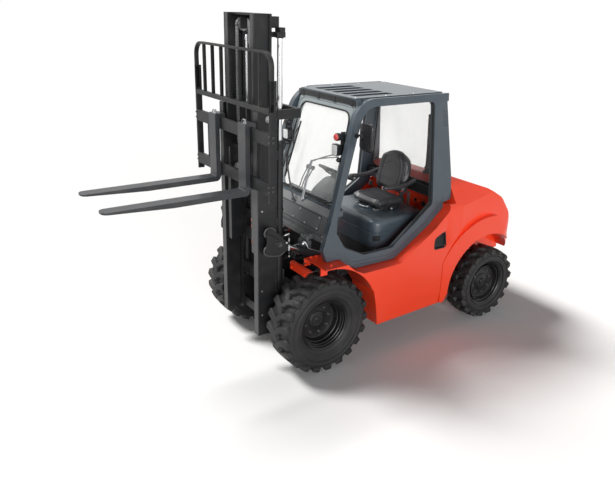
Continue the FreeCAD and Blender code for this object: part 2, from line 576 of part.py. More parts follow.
def front_cowl():
    """Bent sheet below the windscreen with its stepped service box."""
    outline = [("-199.5", "1470"), ("-130", "1421"), ("cowl_face_x", "1258"), ("cowl_face_x", "cowl_low"),
               ("cowl_face_x - 30", "cowl_low"), ("cowl_face_x - 30", "1256"), ("-158", "1404"),
               ("-199.5", "1440")]
    sheet_part = slab("cowl_sheet", "XZ_Plane", outline, "-cowl_half_width", "cowl_half_width")
    step = block("cowl_step", ("cowl_face_x", "cowl_face_x + 36"), ("-cowl_half_width", "cowl_half_width - 190"),
                 ("cowl_low", "1215"))
    return node(fuse("front_cowl", [sheet_part, step]), "front_cowl")


def console():
    """Dashboard behind the cowl and the leaning steering column."""
    dash = [("-262.5", "1200"), ("-262.5", "1480"), ("-330", "1500", "20"), ("-400", "1420", "20"),
            ("-339.5", "1200")]
    top_x, top_z = "steer_x + 44.5 * sin(steer_lean)", "steer_z - 44.5 * cos(steer_lean)"
    column = [("%s + 28 * cos(steer_lean)" % top_x, "%s + 28 * sin(steer_lean)" % top_z),
              ("%s - 28 * cos(steer_lean)" % top_x, "%s - 28 * sin(steer_lean)" % top_z),
              ("-415", "1240"), ("-345", "1240")]
    return node(fuse("steering_console", [
        slab("dash", "XZ_Plane", dash, "-400", "400"),
        slab("column", "XZ_Plane", column, "-55", "55")]), "steering_console")


def steering_wheel():
    """Rim, hub and three spokes square to the column."""
    hoop = doc.addObject("Part::Torus", "wheel_hoop")
    hoop.Radius1, hoop.Radius2 = 176, 14
    hub = rod("wheel_hub", "z", ("0", "0"), "38", "-44", "6")
    spokes = [block("spoke_across", ("-10", "10"), ("-172", "172"), ("-8", "0")),
              block("spoke_back", ("0", "172"), ("-12", "12"), ("-8", "0"))]
    wheel = fuse("steering_wheel", [hoop, hub] + spokes)
    wheel.Placement = Placement(Vector(), Rotation(Vector(0, 1, 0), -10))
    wheel.setExpression("Placement.Rotation.Angle", full("-steer_lean * 1deg"))
    return node(wheel, "steering_wheel", "steer_x", "0", "steer_z")


def engine_hood():
    """Hollow moulded hood under the seat, rounded at its front corners."""
    plan = [("hood_rear", "-hood_half_width"), ("hood_front", "-hood_half_width", "90"),
            ("hood_front", "hood_half_width", "90"), ("hood_rear", "hood_half_width")]
    inside = [("hood_rear - 1", "-hood_half_width + hood_wall"),
              ("hood_front - hood_wall", "-hood_half_width + hood_wall", "78"),
              ("hood_front - hood_wall", "hood_half_width - hood_wall", "78"),
              ("hood_rear - 1", "hood_half_width - hood_wall")]
    shell = cut("engine_hood", slab("hood_out", "XY_Plane", plan, "hood_low", "hood_top"),
                [slab("hood_in", "XY_Plane", inside, "hood_low - 1", "hood_top - hood_wall")])
    return node(shell, "engine_hood")


def seat():
    """Suspension base, cushion, backrest and a pair of armrests."""
    node(block("seat_base", ("-1330", "-1030"), ("-190", "190"), ("hood_top", "hood_top + 34")), "seat_base")
    cushion = slab("seat_cushion", "XY_Plane", rect(("-1350", "-975"), ("-232", "232"), "60"),
                   "hood_top + 34.3", "hood_top + 120")
    node(cushion, "seat_cushion")
    back = [("-225", "0", "60"), ("225", "0", "60"), ("225", "300"), ("150", "440", "90"), ("-150", "440", "90"),
            ("-225", "300")]
    rest = tilted(slab("seat_backrest", "YZ_Plane", back, "-96", "0"), "-1290", "hood_top + 129.1", "8")
    node(rest, "seat_backrest", "-1290", "0", "hood_top + 129.1")
    arm = fuse("arm", [
        block("arm_pad", ("-1330", "-985"), ("252", "304"), ("hood_top + 238", "hood_top + 282")),
        block("arm_pivot", ("-1372", "-1330"), ("225.5", "290"), ("hood_top + 236", "hood_top + 276"))])
    return node(both("armrests", arm), "armrests")


def fittings():
    """Mirror, lamps and the exhaust stack."""
    mirror_head = block("mirror_head", ("-420", "-384"), ("590", "765"), ("2021", "2270"))
    arm = rod("mirror_arm", "y", ("-396", "2137"), "10", "541.3", "600")
    node(fuse("mirror_left", [mirror_head, arm]), "mirror_left")
    lamp = fuse("lamp", [
        block("lamp_bracket", ("-352", "-318"), ("420", "476.9"), ("1980", "2170")),
        rod("lamp_low", "x", ("410", "2000"), "46", "-318", "-262"),
        rod("lamp_high", "x", ("416", "2114"), "34", "-318", "-272")])
    node(both("headlamps", lamp), "headlamps")
    stack = fuse("exhaust_stack", [
        rod("stack_pipe", "z", ("-1562", "300"), "40", "weight_top + 12", "2200"),
        rod("stack_flange", "z", ("-1562", "300"), "62", "weight_top", "weight_top + 12")])
    node(stack, "exhaust_stack")


# ---------------------------------------------------------------- mast
def mast_outer():
    """Channel rails, cross members, the axle hangers and the tilt ears."""
    rail = slab("outer_rail", "XY_Plane", [
        ("outer_rear", "outer_lip_y"), ("outer_rear", "outer_half_width"), ("outer_front", "outer_half_width"),
        ("outer_front", "outer_lip_y"), ("outer_front - outer_flange", "outer_lip_y"),
        ("outer_front - outer_flange", "outer_half_width - outer_web"),
        ("outer_rear + outer_flange", "outer_half_width - outer_web"),
        ("outer_rear + outer_flange", "outer_lip_y")], "outer_low", "outer_top")
    hang = fuse("hanger", [
        slab("hanger_plate", "XZ_Plane", [("0", "342"), ("outer_rear", "342"), ("outer_rear", "640"),
                                          ("0", "592")], "282", "322"),
        rod("hanger_boss", "y", ("0", "front_tyre_radius"), "125", "282", "322")])
    ear = [("tilt_eye_x - 44", "tilt_eye_z - 30", "20"), ("tilt_eye_x - 34", "tilt_eye_z + 40", "30"),
           ("372", "1372", "24"), ("440", "1380", "24"), ("460", "1336", "22"), ("392", "1262", "14"),
           ("396", "1208", "14"), ("456", "1206", "20"), ("460", "1150", "20"), ("430", "1118", "24"),
           ("tilt_eye_x + 4", "1112", "30")]
    gap = "tilt_eye_width / 2 + 2"
    left = [rail, hang,
            slab("ear_inner", "XZ_Plane", ear, "outer_half_width", "tilt_y - (%s)" % gap),
            slab("ear_outer", "XZ_Plane", ear, "tilt_y + %s" % gap, "tilt_y + %s + 12" % gap),
            block("ear_web", ("tilt_eye_x + 58", "tilt_eye_x + 84"), ("outer_half_width", "tilt_y + %s" % gap),
                  ("1140", "1250")),
            rod("tilt_eye_pin", "y", ("tilt_eye_x", "tilt_eye_z"), "tilt_pin_radius",
                "outer_half_width", "tilt_y + %s + 12" % gap),
            block("tie_arm", ("60", "outer_rear"), ("332", "350"), ("2300", "2380")),
            block("barrel_seat", ("lift_x - 34", "outer_rear"), ("lift_y - 24", "lift_y + 34"),
                  ("lift_barrel_low - 25", "lift_barrel_low")),
            rod("top_roller", "y", ("379", "2310"), "56", "248", "outer_half_width - 10")]
    rails = both("outer_rails", fuse("outer_left", left))
    cross = [block("tie_bar", ("60", "100"), ("-350", "350"), ("2300", "2380")),
             block("foot_plate", ("outer_rear - 28", "outer_rear"), ("-outer_half_width", "outer_half_width"),
                   ("outer_low + 28", "outer_low + 118"))]
    for i, (low, high) in enumerate((("700", "820"), ("1360", "1440"), ("1960", "2040"))):
        cross.append(block("cross_plate%d" % i, ("277", "outer_rear"),
                           ("-outer_half_width", "outer_half_width"), (low, high)))
        cross.append(block("cross_box%d" % i, ("250", "278"), ("-240", "240"), (low, high)))
    cross.append(block("chain_anchor", ("outer_rear", "312"), ("-140", "140"), ("2006", "2036")))
    bore = rod("hanger_bore", "y", ("0", "front_tyre_radius"), "axle_tube_radius + pin_clearance", "-400", "400")
    return node(cut("mast_outer", fuse("mast_outer_all", [rails] + cross), [bore]), "mast_outer")


def lift_cylinders():
    """Side lift cylinders: barrels standing on the outer mast, rods under the inner head."""
    barrel = cut("lift_barrel", rod("lift_tube", "z", ("lift_x", "lift_y"), "lift_barrel_radius",
                                    "lift_barrel_low", "lift_barrel_top"),
                 [rod("lift_bore", "z", ("lift_x", "lift_y"), "lift_rod_radius + rod_clearance",
                      "lift_barrel_low + 30", "lift_barrel_top + 1")])
    node(both("lift_barrels", barrel), "lift_barrels")
    piston = rod("lift_rod", "z", ("lift_x", "lift_y"), "lift_rod_radius",
                 "lift_rod_top - lift_rod_length", "lift_rod_top")
    return node(both("lift_rods", piston), "lift_rods")


def mast_inner():
    """I-section rails inside the channels, with the head that the lift rods push."""
    f, b = "inner_front", "inner_rear"
    rail = slab("inner_rail", "XY_Plane", [
        (b, "inner_lip_y"), (b, "inner_half_width"), ("inner_rear + inner_flange", "inner_half_width"),
        ("inner_rear + inner_flange", "inner_web_high"), ("inner_front - inner_flange", "inner_web_high"),
        ("inner_front - inner_flange", "inner_half_width"), (f, "inner_half_width"), (f, "inner_lip_y"),
        ("inner_front - inner_flange", "inner_lip_y"), ("inner_front - inner_flange", "inner_web_low"),
        ("inner_rear + inner_flange", "inner_web_low"), ("inner_rear + inner_flange", "inner_lip_y")],
        "inner_low", "inner_top")
    left = fuse("inner_left", [
        rail,
        block("rod_shoe", ("lift_x - 34", "lift_x + 44"), ("228", "322"), ("lift_rod_top", "lift_rod_top + 40")),
        block("rod_arm", ("lift_x - 34", "inner_rear"), ("200", "inner_half_width"),
              ("lift_rod_top", "lift_rod_top + 40")),
        rod("low_roller", "y", ("385", "inner_low + 70"), "68", "232", "318"),
        block("pulley_ear_in", ("pulley_x - 30", "pulley_x + 30"), ("88", "98"), ("pulley_z - 30", "inner_top")),
        block("pulley_ear_out", ("pulley_x - 30", "pulley_x + 30"), ("138", "148"), ("pulley_z - 30", "inner_top")),
        rod("pulley_axle", "y", ("pulley_x", "pulley_z"), "18", "88", "148")])
    cross = [block("head_plate", ("inner_rear", "inner_rear + 20"), ("-230", "230"), ("inner_top - 43", "inner_top")),
             block("head_cap", ("inner_rear", "pulley_x + 60"), ("-200", "200"), ("inner_top - 16", "inner_top")),
             block("low_cross", ("inner_rear", "inner_rear + 20"), ("-230", "230"), ("inner_low + 10", "inner_low + 120")),
             block("mid_cross", ("inner_rear", "inner_rear + 20"), ("-230", "230"), ("inner_low + 220", "inner_low + 300"))]
    return node(fuse("mast_inner", [both("inner_rails", left)] + cross), "mast_inner")


def chain_gear():
    """Grooved pulleys on the inner head and the two runs of leaf chain at each side."""
    wheel = cut("pulley_wheel", rod("pulley_disc", "y", ("pulley_x", "pulley_z"), "pulley_radius",
                                    "pulley_y - pulley_width / 2", "pulley_y + pulley_width / 2"),
                [rod("pulley_bore", "y", ("pulley_x", "pulley_z"), "18.3", "60", "170")])
    node(both("chain_pulleys", wheel), "chain_pulleys")
    half = "chain_thickness / 2"
    for name, x, low in (("chain_rear", "pulley_x - pulley_radius - %s - 0.3" % half, "2036.3"),
                         ("chain_front", "pulley_x + pulley_radius + %s + 0.3" % half, "2036.3")):
        run = block(name + "_run", ("%s - %s" % (x, half), "%s + %s" % (x, half)),
                    ("pulley_y - chain_width / 2", "pulley_y + chain_width / 2"), (low, "pulley_z"))
        node(both(name, run), name)


def carriage():
    """Two fork bars on a pair of roller plates that run inside the inner mast."""
    back = "bar_front - bar_thickness"
    bars = [block("lower_bar", (back, "bar_front"), ("-carriage_half_width", "carriage_half_width"),
                  ("lower_bar_low", "lower_bar_high")),
            block("upper_bar", (back, "bar_front"), ("-carriage_half_width", "carriage_half_width"),
                  ("upper_bar_low", "upper_bar_high")),
            block("chain_plate", ("396", "470"), ("-165", "165"), ("2006", "2036"))]
    plate = slab("roller_plate", "XZ_Plane", [
        ("490", "1800"), (back, "1800"), (back, "2208"), ("490", "2208"), ("490", "2440"), ("325", "2440"),
        ("325", "1995"), ("490", "1995")], "side_plate_y - side_plate_thickness / 2",
        "side_plate_y + side_plate_thickness / 2")
    rollers = [rod("roller%d" % i, "y", ("379", z), "56", "side_plate_y", "216")
               for i, z in enumerate(("2055", "2375"))]
    post = block("bar_post", (back + " - 20", back), ("440", "500"), ("lower_bar_low + 30", "upper_bar_high - 52"))
    return node(fuse("carriage", bars + [both("carriage_sides", fuse("carriage_left", [plate] + rollers)),
                                         both("bar_posts", post)]), "carriage")


def load_backrest():
    """Welded guard above the carriage, its side bars bolted down the bar ends."""
    half = "carriage_half_width + 20.5"
    outer = [(neg(half), "backrest_low"), (half, "backrest_low"), (half, "backrest_top", "120"),
             (neg(half), "backrest_top", "120")]
    inner = [("-carriage_half_width - 0.5", "backrest_low + 40"), ("carriage_half_width + 0.5", "backrest_low + 40"),
             ("carriage_half_width + 0.5", "backrest_top - 24", "98"),
             ("-carriage_half_width - 0.5", "backrest_top - 24", "98")]
    frame = slab("guard_frame", "YZ_Plane", outer, "bar_front - 40", "bar_front", holes=(inner,))
    bars = [block("guard_bar%d" % i, ("bar_front - 30", "bar_front - 20"),
                  ("%d * 131 - backrest_bar / 2 - 0" % i, "%d * 131 + backrest_bar / 2" % i),
                  ("backrest_low + 20", "backrest_top - 12")) for i in range(-4, 5)]
    side = block("guard_side", ("bar_front - 60", "bar_front"), ("carriage_half_width + 0.5", half),
                 ("1700", "backrest_top - 140"))
    return node(fuse("load_backrest", [frame, both("guard_sides", side)] + bars), "load_backrest")


def forks():
    """Forged hook-on forks: tapered blade, heel, shank and both hooks."""
    face = "bar_front + fork_thickness + 0.5"
    low = "blade_top - fork_thickness"
    tip = "bar_front + fork_thickness + fork_length"
    back = "bar_front - bar_thickness - 0.5"
    outline = [("bar_front + 0.5", low, "46"), ("%s - 560" % tip, low), (tip, "blade_top - 16"),
               (tip, "blade_top"), (face, "blade_top", "14"), (face, "fork_hook_top", "6"),
               ("%s - 24" % back, "fork_hook_top", "6"), ("%s - 24" % back, "upper_bar_high - 36"),
               (back, "upper_bar_high - 36"), (back, "upper_bar_high + 2"), ("bar_front + 0.5", "upper_bar_high + 2"),
               ("bar_front + 0.5", "lower_bar_low - 2"), (back, "lower_bar_low - 2"),
               (back, "lower_bar_low + 28"), ("%s - 24" % back, "lower_bar_low + 28"),
               ("%s - 24" % back, "lower_bar_low - 24"), ("bar_front + 0.5", "lower_bar_low - 24")]
    for side in ("left", "right"):
        centre = "fork_%s_y" % side
        node(slab("fork_" + side, "XZ_Plane", outline, "%s - fork_width / 2" % centre,
                  "%s + fork_width / 2" % centre), "fork_" + side)


def tilt_cylinders():
    """Each cylinder is drawn along X from its base pin, then raised to the line of its two pins."""
    across, rise = "tilt_eye_x - (tilt_base_x)", "tilt_eye_z - tilt_base_z"
    span = "sqrt(pow(%s; 2) + pow(%s; 2))" % (across, rise)
    eye = ("tilt_eye_width / -2", "tilt_eye_width / 2")
    barrel = cut("tilt_tube", fuse("tilt_tube_all", [
        rod("tilt_case", "x", ("0", "0"), "tilt_barrel_radius", "tilt_neck", "tilt_barrel_length"),
        rod("tilt_stem", "x", ("0", "0"), "tilt_eye_width / 2 - 2", "0", "tilt_neck + 5"),
        rod("tilt_base_eye", "y", ("0", "0"), "tilt_eye_radius", *eye)]), [
        rod("tilt_bore", "x", ("0", "0"), "tilt_rod_radius + rod_clearance", "tilt_neck + 34", "tilt_barrel_length + 1"),
        rod("tilt_base_bore", "y", ("0", "0"), "tilt_pin_radius + pin_clearance", "-60", "60")])
    reach = "%s - tilt_eye_radius + 6" % span
    piston = cut("tilt_piston", fuse("tilt_piston_all", [
        rod("tilt_shaft", "x", ("0", "0"), "tilt_rod_radius", "%s - 378" % span, reach),
        rod("tilt_top_eye", "y", (span, "0"), "tilt_eye_radius + 8", *eye)]), [
        rod("tilt_top_bore", "y", (span, "0"), "tilt_pin_radius + 13", "-60", "60")])
    for name, solid in (("tilt_barrel", barrel), ("tilt_rod", piston)):
        solid.Placement = Placement(Vector(), Rotation(Vector(0, 1, 0), -20))
        solid.setExpression("Placement.Rotation.Angle", full("-atan((%s) / (%s))" % (rise, across)))
        node(solid, name + "_left", "tilt_base_x", "tilt_y", "tilt_base_z")
        other = mirror(name + "_right", solid)
        place_other(other, name + "_right")


def build():
    wheels()
    front_axle()
    rear_axle()
    knuckles()
    main_frame()
    engine_block()
    side_panels()
    counterweight()
    floor_plate()
    cab_frame()
    roof_panel()
    windshield()
    front_cowl()
    console()
    steering_wheel()
    engine_hood()
    seat()
    fittings()
    mast_outer()
    lift_cylinders()
    mast_inner()
    chain_gear()
    carriage()
    load_backrest()
    forks()
    tilt_cylinders()


def write():
    """Recomputes, refuses anything broken, and exports one file for each sub-part."""
    doc.recompute()
    for item in doc.Objects:
        if "Invalid" in item.State or "Error" in item.State:
            raise RuntimeError("%s did not compute: %s" % (item.Label, item.State))
    for item in NODES:
        if item.Shape.isNull() or not item.Shape.isValid() or not item.Shape.Solids:
            raise RuntimeError("%s has no valid solid" % item.Label)
    os.makedirs("parts", exist_ok=True)
    for item in NODES:
        item.Shape.exportStep("parts/%s.step" % item.Label)
    print("%d sub-parts written" % len(NODES))


build()
write()
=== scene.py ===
import bmesh, bpy, json, math
import numpy as np
from mathutils import Matrix, Vector


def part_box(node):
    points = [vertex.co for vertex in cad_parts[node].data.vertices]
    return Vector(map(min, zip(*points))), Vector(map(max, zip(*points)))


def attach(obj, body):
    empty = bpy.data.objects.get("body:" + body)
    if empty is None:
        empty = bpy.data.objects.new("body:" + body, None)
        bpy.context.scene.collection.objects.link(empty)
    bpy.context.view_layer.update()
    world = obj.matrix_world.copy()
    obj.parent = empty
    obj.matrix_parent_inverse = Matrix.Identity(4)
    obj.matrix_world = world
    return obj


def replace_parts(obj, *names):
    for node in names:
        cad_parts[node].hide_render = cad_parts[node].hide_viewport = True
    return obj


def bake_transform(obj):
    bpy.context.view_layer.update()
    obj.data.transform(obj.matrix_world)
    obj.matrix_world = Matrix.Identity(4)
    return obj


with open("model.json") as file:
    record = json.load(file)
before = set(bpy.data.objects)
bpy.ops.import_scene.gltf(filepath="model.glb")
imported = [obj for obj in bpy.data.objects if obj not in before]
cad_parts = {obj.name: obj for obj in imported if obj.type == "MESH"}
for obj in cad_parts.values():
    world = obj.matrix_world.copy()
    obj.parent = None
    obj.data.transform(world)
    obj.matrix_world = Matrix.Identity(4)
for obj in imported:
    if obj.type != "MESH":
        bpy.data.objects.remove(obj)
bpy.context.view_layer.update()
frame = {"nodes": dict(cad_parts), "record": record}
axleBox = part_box("tyre_front_left")
axleX = (axleBox[0].x + axleBox[1].x) / 2


def at(x, y, z):
    # millimetres forward of the front axle, to the left and above the ground, as metres in the frame
    return np.array([x / 1000 + axleX, y / 1000, z / 1000])


# shader maths: a Wire is a socket that can be added, multiplied and so on
class Wire:
    def __init__(self, finish, socket):
        self.finish, self.socket = finish, socket

    def maths(self, operation, *values):
        return self.finish.node("Math", {"operation": operation}, list(values))

    def __add__(self, other):
        return self.maths("ADD", self, other)

    def __mul__(self, other):
        return self.maths("MULTIPLY", self, other)

    def __rsub__(self, other):
        return self.maths("SUBTRACT", other, self)

    __radd__, __rmul__ = __add__, __mul__

    def clip(self):
        return self.maths("MAXIMUM", self.maths("MINIMUM", self, 1.0), 0.0)

    def sine(self):
        return self.maths("SINE", self)


class Finish:
    # a material whose node inputs take numbers, colours or Wires
    def __init__(self, name, colour=(0.5, 0.5, 0.5), roughness=0.5, metallic=0.0, **constants):
        self.material = bpy.data.materials.new(name)
        self.material.use_nodes = True
        self.tree = self.material.node_tree
        self.shader = self.tree.nodes["Principled BSDF"]
        self.set(base_color=(*colour[:3], 1), roughness=roughness, metallic=metallic, **constants)
        self.place = self.node("TexCoord", {}, {}, "Object")
        self.normal = self.node("NewGeometry", {}, {}, "Normal")

    def node(self, kind, settings, values, output=0):
        made = self.tree.nodes.new("ShaderNode" + kind)
        for key, value in settings.items():
            setattr(made, key, value)
        for key, value in (values.items() if isinstance(values, dict) else enumerate(values)):
            if isinstance(value, Wire):
                self.tree.links.new(value.socket, made.inputs[key])
            else:
                made.inputs[key].default_value = value
        return Wire(self, made.outputs[output])

    def set(self, **sockets):
        for key, value in sockets.items():
            socket = self.shader.inputs[key.replace("_", " ").title().replace("Ior", "IOR")]
            if isinstance(value, Wire):
                self.tree.links.new(value.socket, socket)
            else:
                socket.default_value = value
        return self

    def noise(self, scale, detail=3.0, place=None):
        return self.node("TexNoise", {}, {"Vector": place or self.place, "Scale": scale, "Detail": detail})

    def stretch(self, x, y, z):
        return self.node("Mapping", {}, {"Vector": self.place, "Scale": (x, y, z)})

    def axis(self, index):
        return self.node("SeparateXYZ", {}, [self.place], index)

    def ramp(self, value, low, high):
        return self.node("MapRange", {"clamp": True}, [value, low, high, 0.0, 1.0])

    def mix(self, share, first, second):
        first, second = [(*tone, 1) if isinstance(tone, tuple) and len(tone) == 3 else tone
                         for tone in (first, second)]
        return self.node("Mix", {"data_type": "RGBA"}, {0: share, 6: first, 7: second}, 2)

    def soften(self, radius):
        # the normal rounded over every edge within the radius
        self.normal = self.node("Bevel", {"samples": 4}, {"Radius": radius})
        return self

    def edges(self, radius=0.006):
        # how far the rounded normal turns from the face's own: 1 on worn edges
        rounded = self.node("Bevel", {"samples": 4}, {"Radius": radius})
        flat = self.node("NewGeometry", {}, {}, "Normal")
        same = self.node("VectorMath", {"operation": "DOT_PRODUCT"}, [rounded, flat], "Value")
        return self.ramp(1 - same, 0.02, 0.2)

    def bump(self, height, strength, distance=0.001):
        self.normal = self.node("Bump", {}, {"Strength": strength, "Distance": distance, "Height": height,
                                             "Normal": self.normal})
        return self

    def done(self):
        return self.set(normal=self.normal).material


def paint(name, tone, roughness=0.3, coat=0.5, peel=0.03, dust=0.1, wear=0.0, worn=(0.35, 0.35, 0.34),
          edge=0.004, gloss=0.4):
    # sprayed enamel: slight colour drift, orange peel, dust in broad soft clouds, bare metal on worn edges
    finish = Finish(name, tone, roughness, coat_weight=coat, coat_roughness=0.08,
                    specular_ior_level=gloss).soften(edge)
    cloud = finish.noise(2.3, 4)
    dusty = finish.ramp(finish.noise(7.0, 6) * cloud, 0.22, 0.5) * dust
    light = tuple(min(1.0, part * 1.12 + 0.004) for part in tone)
    colour = finish.mix(cloud, tone, light)
    colour = finish.mix(dusty, colour, (0.42, 0.38, 0.33))
    rough = roughness + finish.noise(31.0, 4) * 0.1 + dusty * 0.5
    if wear:
        rub = finish.edges() * finish.ramp(finish.noise(38.0, 5), 0.62 - 0.3 * wear, 0.75)
        colour = finish.mix(rub, colour, worn)
        finish.set(metallic=rub * 0.7)
    finish.bump(finish.noise(420.0, 2), peel)
    return finish.set(base_color=colour, roughness=rough.clip()).done()


def rubber(name, tone=(0.026, 0.026, 0.028), dust=0.5):
    # vulcanised rubber: fine grain, brown-grey dust in broad patches
    finish = Finish(name, tone, 0.6, specular_ior_level=0.34).soften(0.003)
    patch = finish.ramp(finish.noise(5.5, 6), 0.42, 0.7) * dust
    grain = finish.noise(260.0, 4)
    colour = finish.mix(patch, tone, (0.1, 0.09, 0.082))
    finish.bump(grain, 0.25).bump(finish.noise(34.0, 3), 0.15, 0.002)
    return finish.set(base_color=colour, roughness=(0.5 + patch * 0.3 + grain * 0.12).clip()).done()


def metal(name, tone, roughness, grain=0.0, oil=0.0):
    # bare or plated steel: drawn lines along Z, dark oily film
    finish = Finish(name, tone, roughness, 1.0).soften(0.0015)
    lines = finish.noise(1.0, 4, finish.stretch(420, 420, 9))
    film = finish.ramp(finish.noise(14.0, 5), 0.4, 0.7) * oil
    colour = finish.mix(film, tone, (0.03, 0.026, 0.022))
    if grain:
        finish.bump(lines, grain, 0.0004)
    return finish.set(base_color=colour, roughness=(roughness + lines * 0.1 + film * 0.25).clip()).done()


def moulded(name, tone, roughness=0.5, grain=0.3, scale=520.0):
    # moulded plastic or vinyl: leather-like cells with soft sheen variation
    finish = Finish(name, tone, roughness).soften(0.003)
    cells = finish.node("TexVoronoi", {"feature": "DISTANCE_TO_EDGE"},
                        {"Vector": finish.place, "Scale": scale}, 0)
    drift = finish.noise(6.0, 4)
    lighter = tuple(part * 1.5 + 0.006 for part in tone)
    finish.bump(finish.ramp(cells, 0.0, 0.14), grain, 0.0005)
    return finish.set(base_color=finish.mix(drift * 0.6, tone, lighter),
                      roughness=(roughness + drift * 0.14).clip()).done()


def glazing(name, tint, share):
    # clear pane: see-through apart from the share that gloss and a faint smear cover
    finish = Finish(name, tint, 0.03, ior=1.45, specular_ior_level=0.6)
    smear = finish.ramp(finish.noise(3.0, 5), 0.45, 0.75)
    return finish.set(alpha=share + smear * 0.04).material


def lens(name, tone, scale=150.0):
    # ribbed lamp lens over a bright reflector, drawn opaque, with the ribs' crests painted lighter as
    # painted glints
    finish = Finish(name, tone, 0.12, coat_weight=1.0)
    ribs = (finish.axis(1) * scale * 6.28).sine() * 0.5 + 0.5
    finish.bump(ribs, 0.5, 0.002)
    # painted glints: the colour is lighter on the ribs' crests
    lighter = tuple(min(1, part * 1.3 + 0.03) for part in tone)
    return finish.set(base_color=finish.mix(ribs, tone, lighter)).done()


# sprayed: colour, roughness, coat, peel, dust, wear, colour under the wear, edge radius, gloss
finishes = {
    "red": paint("redEnamel", (0.98, 0.052, 0.01), 0.36, 0.3, 0.02, 0.02),
    "blueGrey": paint("blueGreyEnamel", (0.05, 0.069, 0.086), 0.34, 0.3, 0.03, 0.05),
    "lightGrey": paint("paleGreyEnamel", (0.30, 0.34, 0.35), 0.42, 0.2, 0.03, 0.08),
    "cowl": paint("midGreyEnamel", (0.1, 0.105, 0.11), 0.45, 0.2, 0.04, 0.08),
    "chassis": paint("chassisBlack", (0.012, 0.0125, 0.014), 0.5, 0.05, 0.05, 0.12, 0.3, (0.1, 0.1, 0.105)),
    "mast": paint("mastCharcoal", (0.0075, 0.008, 0.0092), 0.44, 0.06, 0.05, 0.06, 0.5,
                  (0.09, 0.092, 0.098), 0.003, 0.3),
    "fork": paint("forkGrey", (0.026, 0.028, 0.032), 0.36, 0.12, 0.06, 0.1, 0.8, (0.2, 0.21, 0.23)),
    "worn": paint("rubbedSteel", (0.05, 0.051, 0.053), 0.4, 0.05, 0.05, 0.1, 0.6, (0.2, 0.2, 0.2)),
    "rim": paint("rimBlack", (0.005, 0.005, 0.006), 0.34, 0.16, 0.03, 0.04, 0.2, (0.06, 0.06, 0.062),
                 0.004, 0.25),
    "stack": paint("stackHeatBlack", (0.022, 0.019, 0.017), 0.6, 0.0, 0.1, 0.3, 0.3, (0.16, 0.09, 0.05)),
    "chrome": metal("chromedRod", (0.72, 0.73, 0.75), 0.12),
    "steel": metal("machinedSteel", (0.36, 0.36, 0.37), 0.34, 0.2, 0.35),
    "zinc": metal("zincPlate", (0.46, 0.47, 0.48), 0.36, 0.1, 0.15),
    "tyre": rubber("tyreRubber", (0.015, 0.0151, 0.0162), 0.16),
    "hose": rubber("hoseRubber", (0.018, 0.018, 0.02), 0.15),
    "mat": rubber("floorMat", (0.03, 0.031, 0.034), 0.3),
    "gasket": rubber("gasketRubber", (0.014, 0.014, 0.015), 0.08),
    "plastic": moulded("grainedPlastic", (0.011, 0.011, 0.0125), 0.46),
    "gloss": moulded("glossPlastic", (0.014, 0.014, 0.016), 0.2, 0.03),
    "vinyl": moulded("seatVinyl", (0.03, 0.03, 0.033), 0.31, 0.3, 640.0),
    "glass": glazing("cabGlass", (0.86, 0.9, 0.9), 0.13),
    "clearLens": lens("clearLens", (0.75, 0.78, 0.8)),
    "redLens": lens("redLens", (0.7, 0.02, 0.012), 220.0),
    "amberLens": lens("amberLens", (0.9, 0.3, 0.02), 220.0),
    "mirror": Finish("mirrorFace", (0.85, 0.87, 0.9), 0.03, 1.0).done(),
}
print("finishes made", len(finishes))

nodeFinish = {"chassis_black": "chassis", "red_body": "red", "blue_grey_paint": "blueGrey",
              "light_grey_paint": "lightGrey", "cowl_grey": "cowl", "floor_mat": "mat",
              "cab_glass": "glass", "black_plastic": "plastic", "lamp_housing": "gloss",
              "stack_steel": "stack", "seat_vinyl": "vinyl", "tyre_rubber": "tyre", "rim_black": "rim",
              "mast_black": "mast", "chain_steel": "steel", "rod_chrome": "chrome", "fork_steel": "fork"}
for entry in frame["record"]["subparts"]:
    node = frame["nodes"][entry["node"]]
    node.data.materials.clear()
    node.data.materials.append(finishes[nodeFinish[entry["material_slot"]]])
print("frame nodes finished", len(frame["nodes"]))


# mesh helpers
def makePiece(name, points, faces, finish, body, slot=None, crease=32, bevel=0.0, replaces=()):
    # a mesh with its finish, smooth up to the crease angle, riding on a body of the frame
    mesh = bpy.data.meshes.new(name)
    mesh.from_pydata(np.asarray(points, float).reshape(-1, 3).tolist(), [],
                     [list(map(int, face)) for face in faces])
    mesh.validate()
    mesh.shade_smooth()
    mesh.set_sharp_from_angle(angle=math.radians(crease))
    mesh.materials.append(finishes[finish])
    piece = bpy.data.objects.new(name, mesh)
    bpy.context.scene.collection.objects.link(piece)
    if bevel:
        rounding = piece.modifiers.new("rounding", "BEVEL")
        rounding.width, rounding.segments, rounding.limit_method = bevel, 2, "ANGLE"
        rounding.angle_limit, rounding.harden_normals = math.radians(32), True
    if replaces:
        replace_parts(piece, *replaces)
    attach(piece, body)
    return piece if slot else piece


def gridFaces(rows, columns, closeRows=False, closeColumns=False, start=0):
    # quads between neighbouring points of a grid, wrapped round where it closes
    i = np.arange(rows if closeRows else rows - 1)
    j = np.arange(columns if closeColumns else columns - 1)
    i, j = [part.ravel() for part in np.meshgrid(i, j, indexing="ij")]
    a, b = i * columns + j, i * columns + (j + 1) % columns
    c, d = ((i + 1) % rows) * columns + (j + 1) % columns, ((i + 1) % rows) * columns + j
    return (np.stack([a, b, c, d], 1) + start).tolist()


